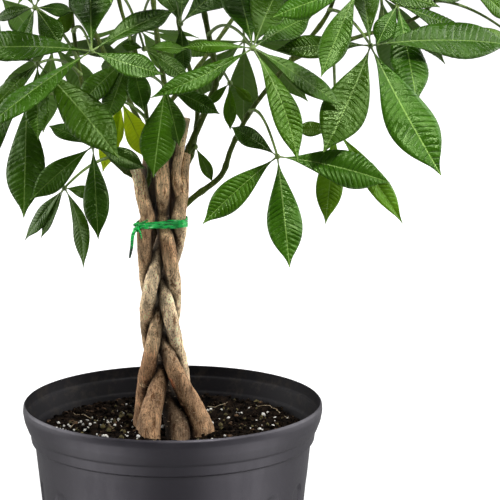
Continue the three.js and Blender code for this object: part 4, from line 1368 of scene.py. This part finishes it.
# %% The plant's leaves
# A leaf: its shoot and how far along it or its fork, its hub, the way its upper side faces (degrees
# round from the front, degrees up from level), and its leaflets as (clock angle on the leaf's face,
# length, width and sideways bow of the length). A count and a length stand for an even fan.
LEAVES = {
    "front_left": (("left", 0.77), (-67, -130, 580), (-10, 45), [
        (350, 150, 0.28), (40, 96, 0.25), (97, 62, 0.44, 0.05), (285, 126, 0.27), (236, 108, 0.24)]),
    "high_left": (("left", 0.7), (-118, -66, 612), (-25, 42), [
        (266, 44, 0.34), (188, 36, 0.4), (132, 44, 0.5), (80, 34, 0.42), (318, 104), (356, 82)]),
    "young_left": (("left", 0.86), (-84, -42, 612), (0, 50), [
        (210, 34, 0.48), (0, 44), (48, 30, 0.4)]),
    "left": (("left", 0.66), (-115, -95, 566), (-15, 35), [
        (226, 60, 0.34), (130, 106, 0.36), (172, 62, 0.36), (300, 60)]),
    "hanging_left": (("left", 0.56), (-127, -55, 534), (-20, 20), [
        (178, 97, 0.38), (225, 92), (270, 84)]),
    "low_left": (("left", 0.44), (-69, -75, 491), (-5, 25), [
        (303, 50, 0.3), (235, 68, 0.35), (175, 74, 0.32), (105, 48, 0.38)]),
    "lowest_left": (("left", 0.32), (-97, -25, 446), (-30, 25), [
        (220, 57, 0.3), (204, 46, 0.26), (154, 69, 0.26, -0.08), (90, 30, 0.4)]),
    "over_trunk": (("inner", 0.62), (-5, -45, 539), (0, 15), [
        (189, 72, 0.45), (165, 48, 0.42), (109, 52, 0.34)]),
    "inner_left": (("inner", 0.75), (-36, -35, 566), (-15, 35), [
        (228, 62, 0.42), (196, 58, 0.42), (158, 50, 0.42)]),
    "backlit": (("inner", 0.5), (-46, 16, 520), (-10, 8), [
        (188, 42, 0.32), (152, 54, 0.44), (197, 62, 0.3)]),
    "middle": (("inner", 0.86), (-23, -78, 577), (0, 45), [
        (76, 38, 0.42), (122, 46, 0.42), (300, 24, 0.5)]),
    "upper_middle": (("upright", 0.8), (9, -45, 596), (15, 25), [
        (48, 90, 0.36), (12, 90), (342, 52), (180, 40, 0.4)]),
    "sprout": (("right", 0.12), (22, -4, 480), (15, 5), [(150, 34, 0.32)]),
    "small": (("right", 0.55), (53, -28, 541), (0, 20), [(180, 38), (230, 26), (125, 26)]),
    "front": (("right", 0.64), (69, -150, 584), (10, 40), [
        (286, 60, 0.2), (254, 93, 0.21, -0.06), (0, 102, 0.34), (24, 106, 0.36), (50, 80, 0.3),
        (120, 85, 0.28), (163, 97, 0.25, -0.05)]),
    "front_right": (("arching", 0.88), (171, -120, 583), (15, 35), [
        (281, 82, 0.28), (8, 110, 0.28), (79, 150, 0.27), (155, 115, 0.39, 0.03),
        (214, 98, 0.4, -0.03)]),
    "high_right": (("arching", 0.94), (200, -60, 613), (25, 50), [
        (225, 46, 0.44), (107, 78), (60, 130), (20, 120), (190, 94, 0.36)]),
    "folded": (("arching", 0.98), (156, -165, 634), (0, 45), [
        (205, 80, 0.3), (262, 72, 0.34), (345, 100), (30, 76), (90, 70)]),
    "low_front": (("arching", 0.6), (90, -150, 492), (0, 30), [
        (314, 54, 0.32), (234, 80, 0.31), (174, 86, 0.35), (94, 98, 0.33)]),
    "low_right": (("arching", 0.35, "fork"), (154, 40, 489), (10, 25), [
        (191, 80, 0.32), (142, 99, 0.22), (281, 38, 0.4)]),
    "right": (("arching", 0.94, "fork"), (262, -25, 632), (30, 28), [
        (120, 62), (60, 110), (15, 100), (320, 70)]),
    "right_edge": (("arching", 0.85, "fork"), (318, 0, 575), (60, 40), [
        (295, 68), (125, 80), (190, 84), (60, 84)]),
    "top_left": (("left", 1), (-70, -45, 690), (-20, 60), (6, 100)),
    "side_left": (("left", 0.9), (-155, 30, 655), (-80, 55), (6, 100)),
    "crown_left": (("inner", 1), (-75, 50, 735), (-100, 75), (6, 100)),
    "top_front": (("right", 0.95), (35, -85, 700), (5, 60), (6, 104)),
    "crown": (("right", 1), (45, 5, 770), (10, 80), (7, 112)),
    "top_right": (("arching", 1), (135, -62, 728), (25, 60), (6, 104)),
    "crown_right": (("arching", 0.92), (165, 25, 735), (70, 72), (6, 104)),
    "side_right": (("arching", 1, "fork"), (278, 50, 706), (80, 60), (6, 100)),
    "back_right": (("arching", 0.8, "fork"), (285, 112, 660), (120, 62), (5, 92)),
    "behind_right": (("arching", 0.6, "fork"), (200, 105, 610), (155, 45), [
        (180, 94), (218, 88), (304, 80), (350, 72), (62, 76)]),
    "crown_back": (("upright", 1), (-20, 80, 760), (-160, 75), (6, 104)),
    "rear_left": (("rear", 0.8), (-160, 85, 610), (-120, 45), (6, 96)),
    "rear_high": (("rear", 1), (-110, 150, 680), (-150, 55), (6, 98)),
    "rear_low": (("rear", 0.6), (-114, 140, 560), (-155, 35), (5, 90)),
    "behind": (("back", 0.6), (-30, 165, 572), (180, 66), (6, 94)),
    "behind_high": (("back", 1), (0, 185, 690), (175, 55), (6, 100)),
    "back_low": (("back", 0.55, "fork"), (72, 152, 562), (170, 40), (5, 92)),
    "back_high": (("back", 1, "fork"), (105, 160, 700), (160, 60), (6, 100)),
}
# The backlit leaf's high tone is partly painted light: its bright yellow-green base colour makes it
# look lit though it lies behind; the light that shines through it is real.
LEAF_TONES = {"backlit": 0.95, "young_left": 0.35, "low_right": 0.2, "right_edge": 0.3,
              "small": 0.15, "sprout": 0.12, "behind": 0.25, "rear_left": 0.2, "rear_low": 0.2,
              "back_low": 0.2, "behind_right": 0.15}
OLD_TONE = 0.04                      # of all the other leaves
LEFT_PAINTED_SHADE = 0.8                     # painted shade: the leaves on the left are a darker green
LEFT_STARTS = -60
# Painted light and shade of single leaflets, as their depth of green, by leaf and clock angle; the
# others get a depth of green by a draw.
BLADE_PAINTED_LIGHT_AND_SHADE = {
    "front_left": {285: 0.52, 350: 0.55, 40: 0.6, 97: 0.85},
    "left": {130: 0.62, 226: 0.6},
    "hanging_left": {178: 0.75},
    "front": {120: 0.68, 163: 0.9, 254: 0.95},
    "front_right": {79: 0.62, 155: 1.25, 214: 0.68, 281: 0.6, 8: 0.6},
    "high_right": {107: 0.6},
    "folded": {205: 0.85},
    "low_front": {234: 1.0, 174: 1.2, 94: 1.05},
    "low_right": {191: 1.2, 142: 1.3},
}
YOUNG_SLOT = ("backlit", "young_left")
print(len(LEAVES), "leaves")

# %% [markdown]
# A leaf's stalk leaves the shoot upwards and bows over to the hub. The leaflets leave the hub like
# spokes, lean back a little from the leaf's plane and sag under their own weight, more towards the
# tip. Each blade is folded along its midrib and turns about it, by draws of its own.

# %% Lay out a leaf
BLADE_CONE = 8                       # degrees that the leaflets lean back
BLADE_SAG = 0.12                     # of the leaflet's length, at its tip
BLADE_TWIST = 14                     # degrees to either side, at most
BLADE_THICKNESS = 0.55
FAN_STEP = 47                        # degrees between the leaflets of an even fan
FAN_SHORTER = 0.055                  # how much shorter the outer leaflets of a fan are
FOLD = (-0.24, 0.16)                 # least and greatest rise of a blade's edges over its midrib
RIM_WAVE = 0.02                      # of the leaflet's length
QUILTING = (0.35, 1.3)               # least and greatest share of the flat leaflet's quilting
ARCH = (-0.03, 0.06)
GREEN_DEPTH = (0.5, 1.25)
TONE_SPREAD = 0.08
PETIOLE_RADIUS = 1.5
PETIOLE_BOW = 0.18                   # of its length
HUB_KNOB = 2.6
DOWN = np.array([0, 0, -1])


def leaf_axes(face):
    """The way that the leaf faces, and 12 and 3 o'clock on its face."""
    turn, tilt = math.radians(face[0]), math.radians(face[1])
    facing = np.array([*around(math.cos(tilt), turn), math.sin(tilt)])
    twelve = unit(np.array([0, 0, 1]) - facing * facing[2])
    return facing, twelve, np.cross(twelve, facing)


def with_defaults(clock, length, width=2 * HALF_WIDTH, bow=0.0):
    """A leaflet's four numbers, where the last two may be left out."""
    return clock, length, width, bow


def rib_place(hub, start, aside, length, bow, t):
    """Where the midrib is at t: it leaves along start, sags, and bows to one side between its ends."""
    bowed = np.outer(4 * bow * t * (1 - t), aside)
    return hub + length * (np.outer(t, start) + BLADE_SAG * np.outer(t * t, DOWN) + bowed)


def even_fan(count, length, draw):
    fan = []
    for k in range(count):
        off = k - (count - 1) / 2
        angle = 180 + FAN_STEP * off + 10 * (draw() - 0.5)
        fan.append((angle, length * (1 - FAN_SHORTER * off * off) * (0.95 + 0.1 * draw())))
    return fan


def blade_heading(axes, clock):
    """The way that a leaflet leaves the hub, and the way across it."""
    facing, twelve, three = axes
    angle, cone = math.radians(clock), math.radians(BLADE_CONE)
    outward = twelve * math.cos(angle) + three * math.sin(angle)
    start = outward * math.cos(cone) - facing * math.sin(cone)
    return start, unit(np.cross(start, facing))


def unit_rows(rows):
    return rows / np.linalg.norm(rows, axis=1)[:, None]


def bent_blade(flat, hub, axes, blade, draw, quilting, arch):
    """The flat leaflet's corners carried to its place: along a sagging midrib, folded and turned."""
    clock, length, width, bow = blade
    facing = axes[0]
    fold = mix(*FOLD, draw())
    twist = math.radians(BLADE_TWIST) * (2 * draw() - 1)
    start, aside = blade_heading(axes, clock)
    t = flat[:, 1]
    wide = width / (2 * HALF_WIDTH)
    rib = rib_place(hub, start, aside, length, bow, t)
    along = start + np.outer(2 * BLADE_SAG * t, DOWN) + np.outer(4 * bow * (1 - 2 * t), aside)
    along = unit_rows(along)
    up_flat = unit_rows(facing - along * (along @ facing)[:, None])
    side = np.cross(along, up_flat)
    roll = (twist * t)[:, None]
    up = up_flat * np.cos(roll) + side * np.sin(roll)
    across = np.cross(along, up)
    share = flat[:, 0] / HALF_WIDTH
    from_rib = np.abs(share)
    wave = RIM_WAVE * np.sin(9 * t + 60 * fold) * from_rib
    patchy = np.array([noise.noise(Vector((4 * v, 1.2 * w, 40 * fold + twist)))
                       for v, w in zip(t, share)])
    belly = arch * from_rib * (1 - from_rib)
    quilted = flat[:, 2] * quilting * np.clip(0.75 + 2.4 * patchy, 0.05, 2)
    lift = (quilted + fold * wide * np.abs(flat[:, 0]) + wave + belly) * length
    return rib + across * (flat[:, 0] * wide * length)[:, None] + up * lift[:, None]


def midrib_run(hub, axes, blade):
    """The little stalk and the midrib of a leaflet as one tapering rod."""
    clock, length, _, bow = blade
    start, aside = blade_heading(axes, clock)
    steps = np.array([0, 0.03, 0.06, 0.1, 0.18, 0.3, 0.45, 0.6, 0.75, 0.88, 0.97])
    line = rib_place(hub, start, aside, length, bow, steps)
    return line, np.interp(steps, [0, 0.05, 0.1, 1], [1.0, 0.85, 0.46, 0.1])


def petiole_run(foot, hub):
    """The leaf's stalk: it rises from the shoot with a swollen foot and bows over to the hub."""
    bend = mix(foot, hub, 0.45) + np.array([0, 0, PETIOLE_BOW * np.linalg.norm(hub - foot)])
    steps = np.linspace(0, 1, 22)
    line = [(1 - u) ** 2 * foot + 2 * u * (1 - u) * bend + u * u * hub for u in steps]
    thick = PETIOLE_RADIUS * mix(1.1, 0.75, steps) * (1 + 0.7 * np.exp(-((steps / 0.04) ** 2)))
    return line, thick


def paint(part, name, value):
    """Gives every corner of the leaflet the same number."""
    spread = part.data.attributes.new(name, "FLOAT", "POINT")
    spread.data.foreach_set("value", np.full(len(part.data.vertices), value))


def make_leaflet(name, template, hub, axes, blade, draw):
    """A copy of the flat leaflet, bent, with its own quilting, tone and depth of green."""
    part = template.copy()
    part.data = template.data.copy()
    bpy.context.scene.collection.objects.link(part)
    own = seeded_draws(int(13 * blade[0] + blade[1]))
    tone = LEAF_TONES.get(name, OLD_TONE) + TONE_SPREAD * (own() - 0.5)
    paint(part, "tone", min(max(tone, 0), 1))
    quilting, arch = mix(*QUILTING, own()), mix(*ARCH, own())
    # painted shade: the leaves on the left get a darker green
    depth = mix(*GREEN_DEPTH, own()) * (LEFT_PAINTED_SHADE if hub[0] < LEFT_STARTS else 1)
    # the listed leaflets get painted light and shade in place of the drawn depth
    paint(part, "depth", BLADE_PAINTED_LIGHT_AND_SHADE.get(name, {}).get(blade[0], depth))
    flat = corners(template) * MM
    move_corners(part, bent_blade(flat, hub, axes, blade, draw, quilting, arch))
    return part


def leaf_foot(shoot, along, branch="line"):
    """Where a leaf's stalk leaves its shoot."""
    return along_path(SHOOTS[shoot][branch], along)


def make_leaf(name, order, template):
    spot, hub, face, blades = LEAVES[name]
    draw = seeded_draws(order + 1)
    hub, axes = np.array(hub, float), leaf_axes(face)
    if isinstance(blades, tuple):
        blades = even_fan(*blades, draw)
    blades = [with_defaults(*blade) for blade in blades]
    parts = [make_leaflet(name, template, hub, axes, blade, draw) for blade in blades]
    pick(*parts)
    bpy.ops.object.join()
    leaf = parts[0]
    leaf.name = "fine_leaf_" + name
    leaf.data.materials.append(UPPER)
    leaf.data.materials.append(UNDER)
    apply_modifier(leaf, "SOLIDIFY", thickness=BLADE_THICKNESS * MM, offset=0, material_offset=1)
    runs = [petiole_run(leaf_foot(*spot), hub)] + [midrib_run(hub, axes, blade) for blade in blades]
    stalks = rods("stalks", runs, 1)
    bpy.ops.mesh.primitive_ico_sphere_add(subdivisions=2, radius=HUB_KNOB * MM, location=hub * MM)
    pick(stalks, bpy.context.object)
    bpy.ops.object.join()
    stalks.data.materials.append(STALK)
    pick(leaf, stalks)
    bpy.ops.object.join()
    smooth_all(leaf)
    return leaf


UPPER, UNDER, STALK = leaf_upper(), leaf_under(), leaf_stalk()
template = flat_leaflet()
for order, name in enumerate(LEAVES):
    leaf = make_leaf(name, order, template)
    hand_over(leaf, [], "young_leaf" if name in YOUNG_SLOT else "leaf", "leaf_" + name)
bpy.data.objects.remove(template)
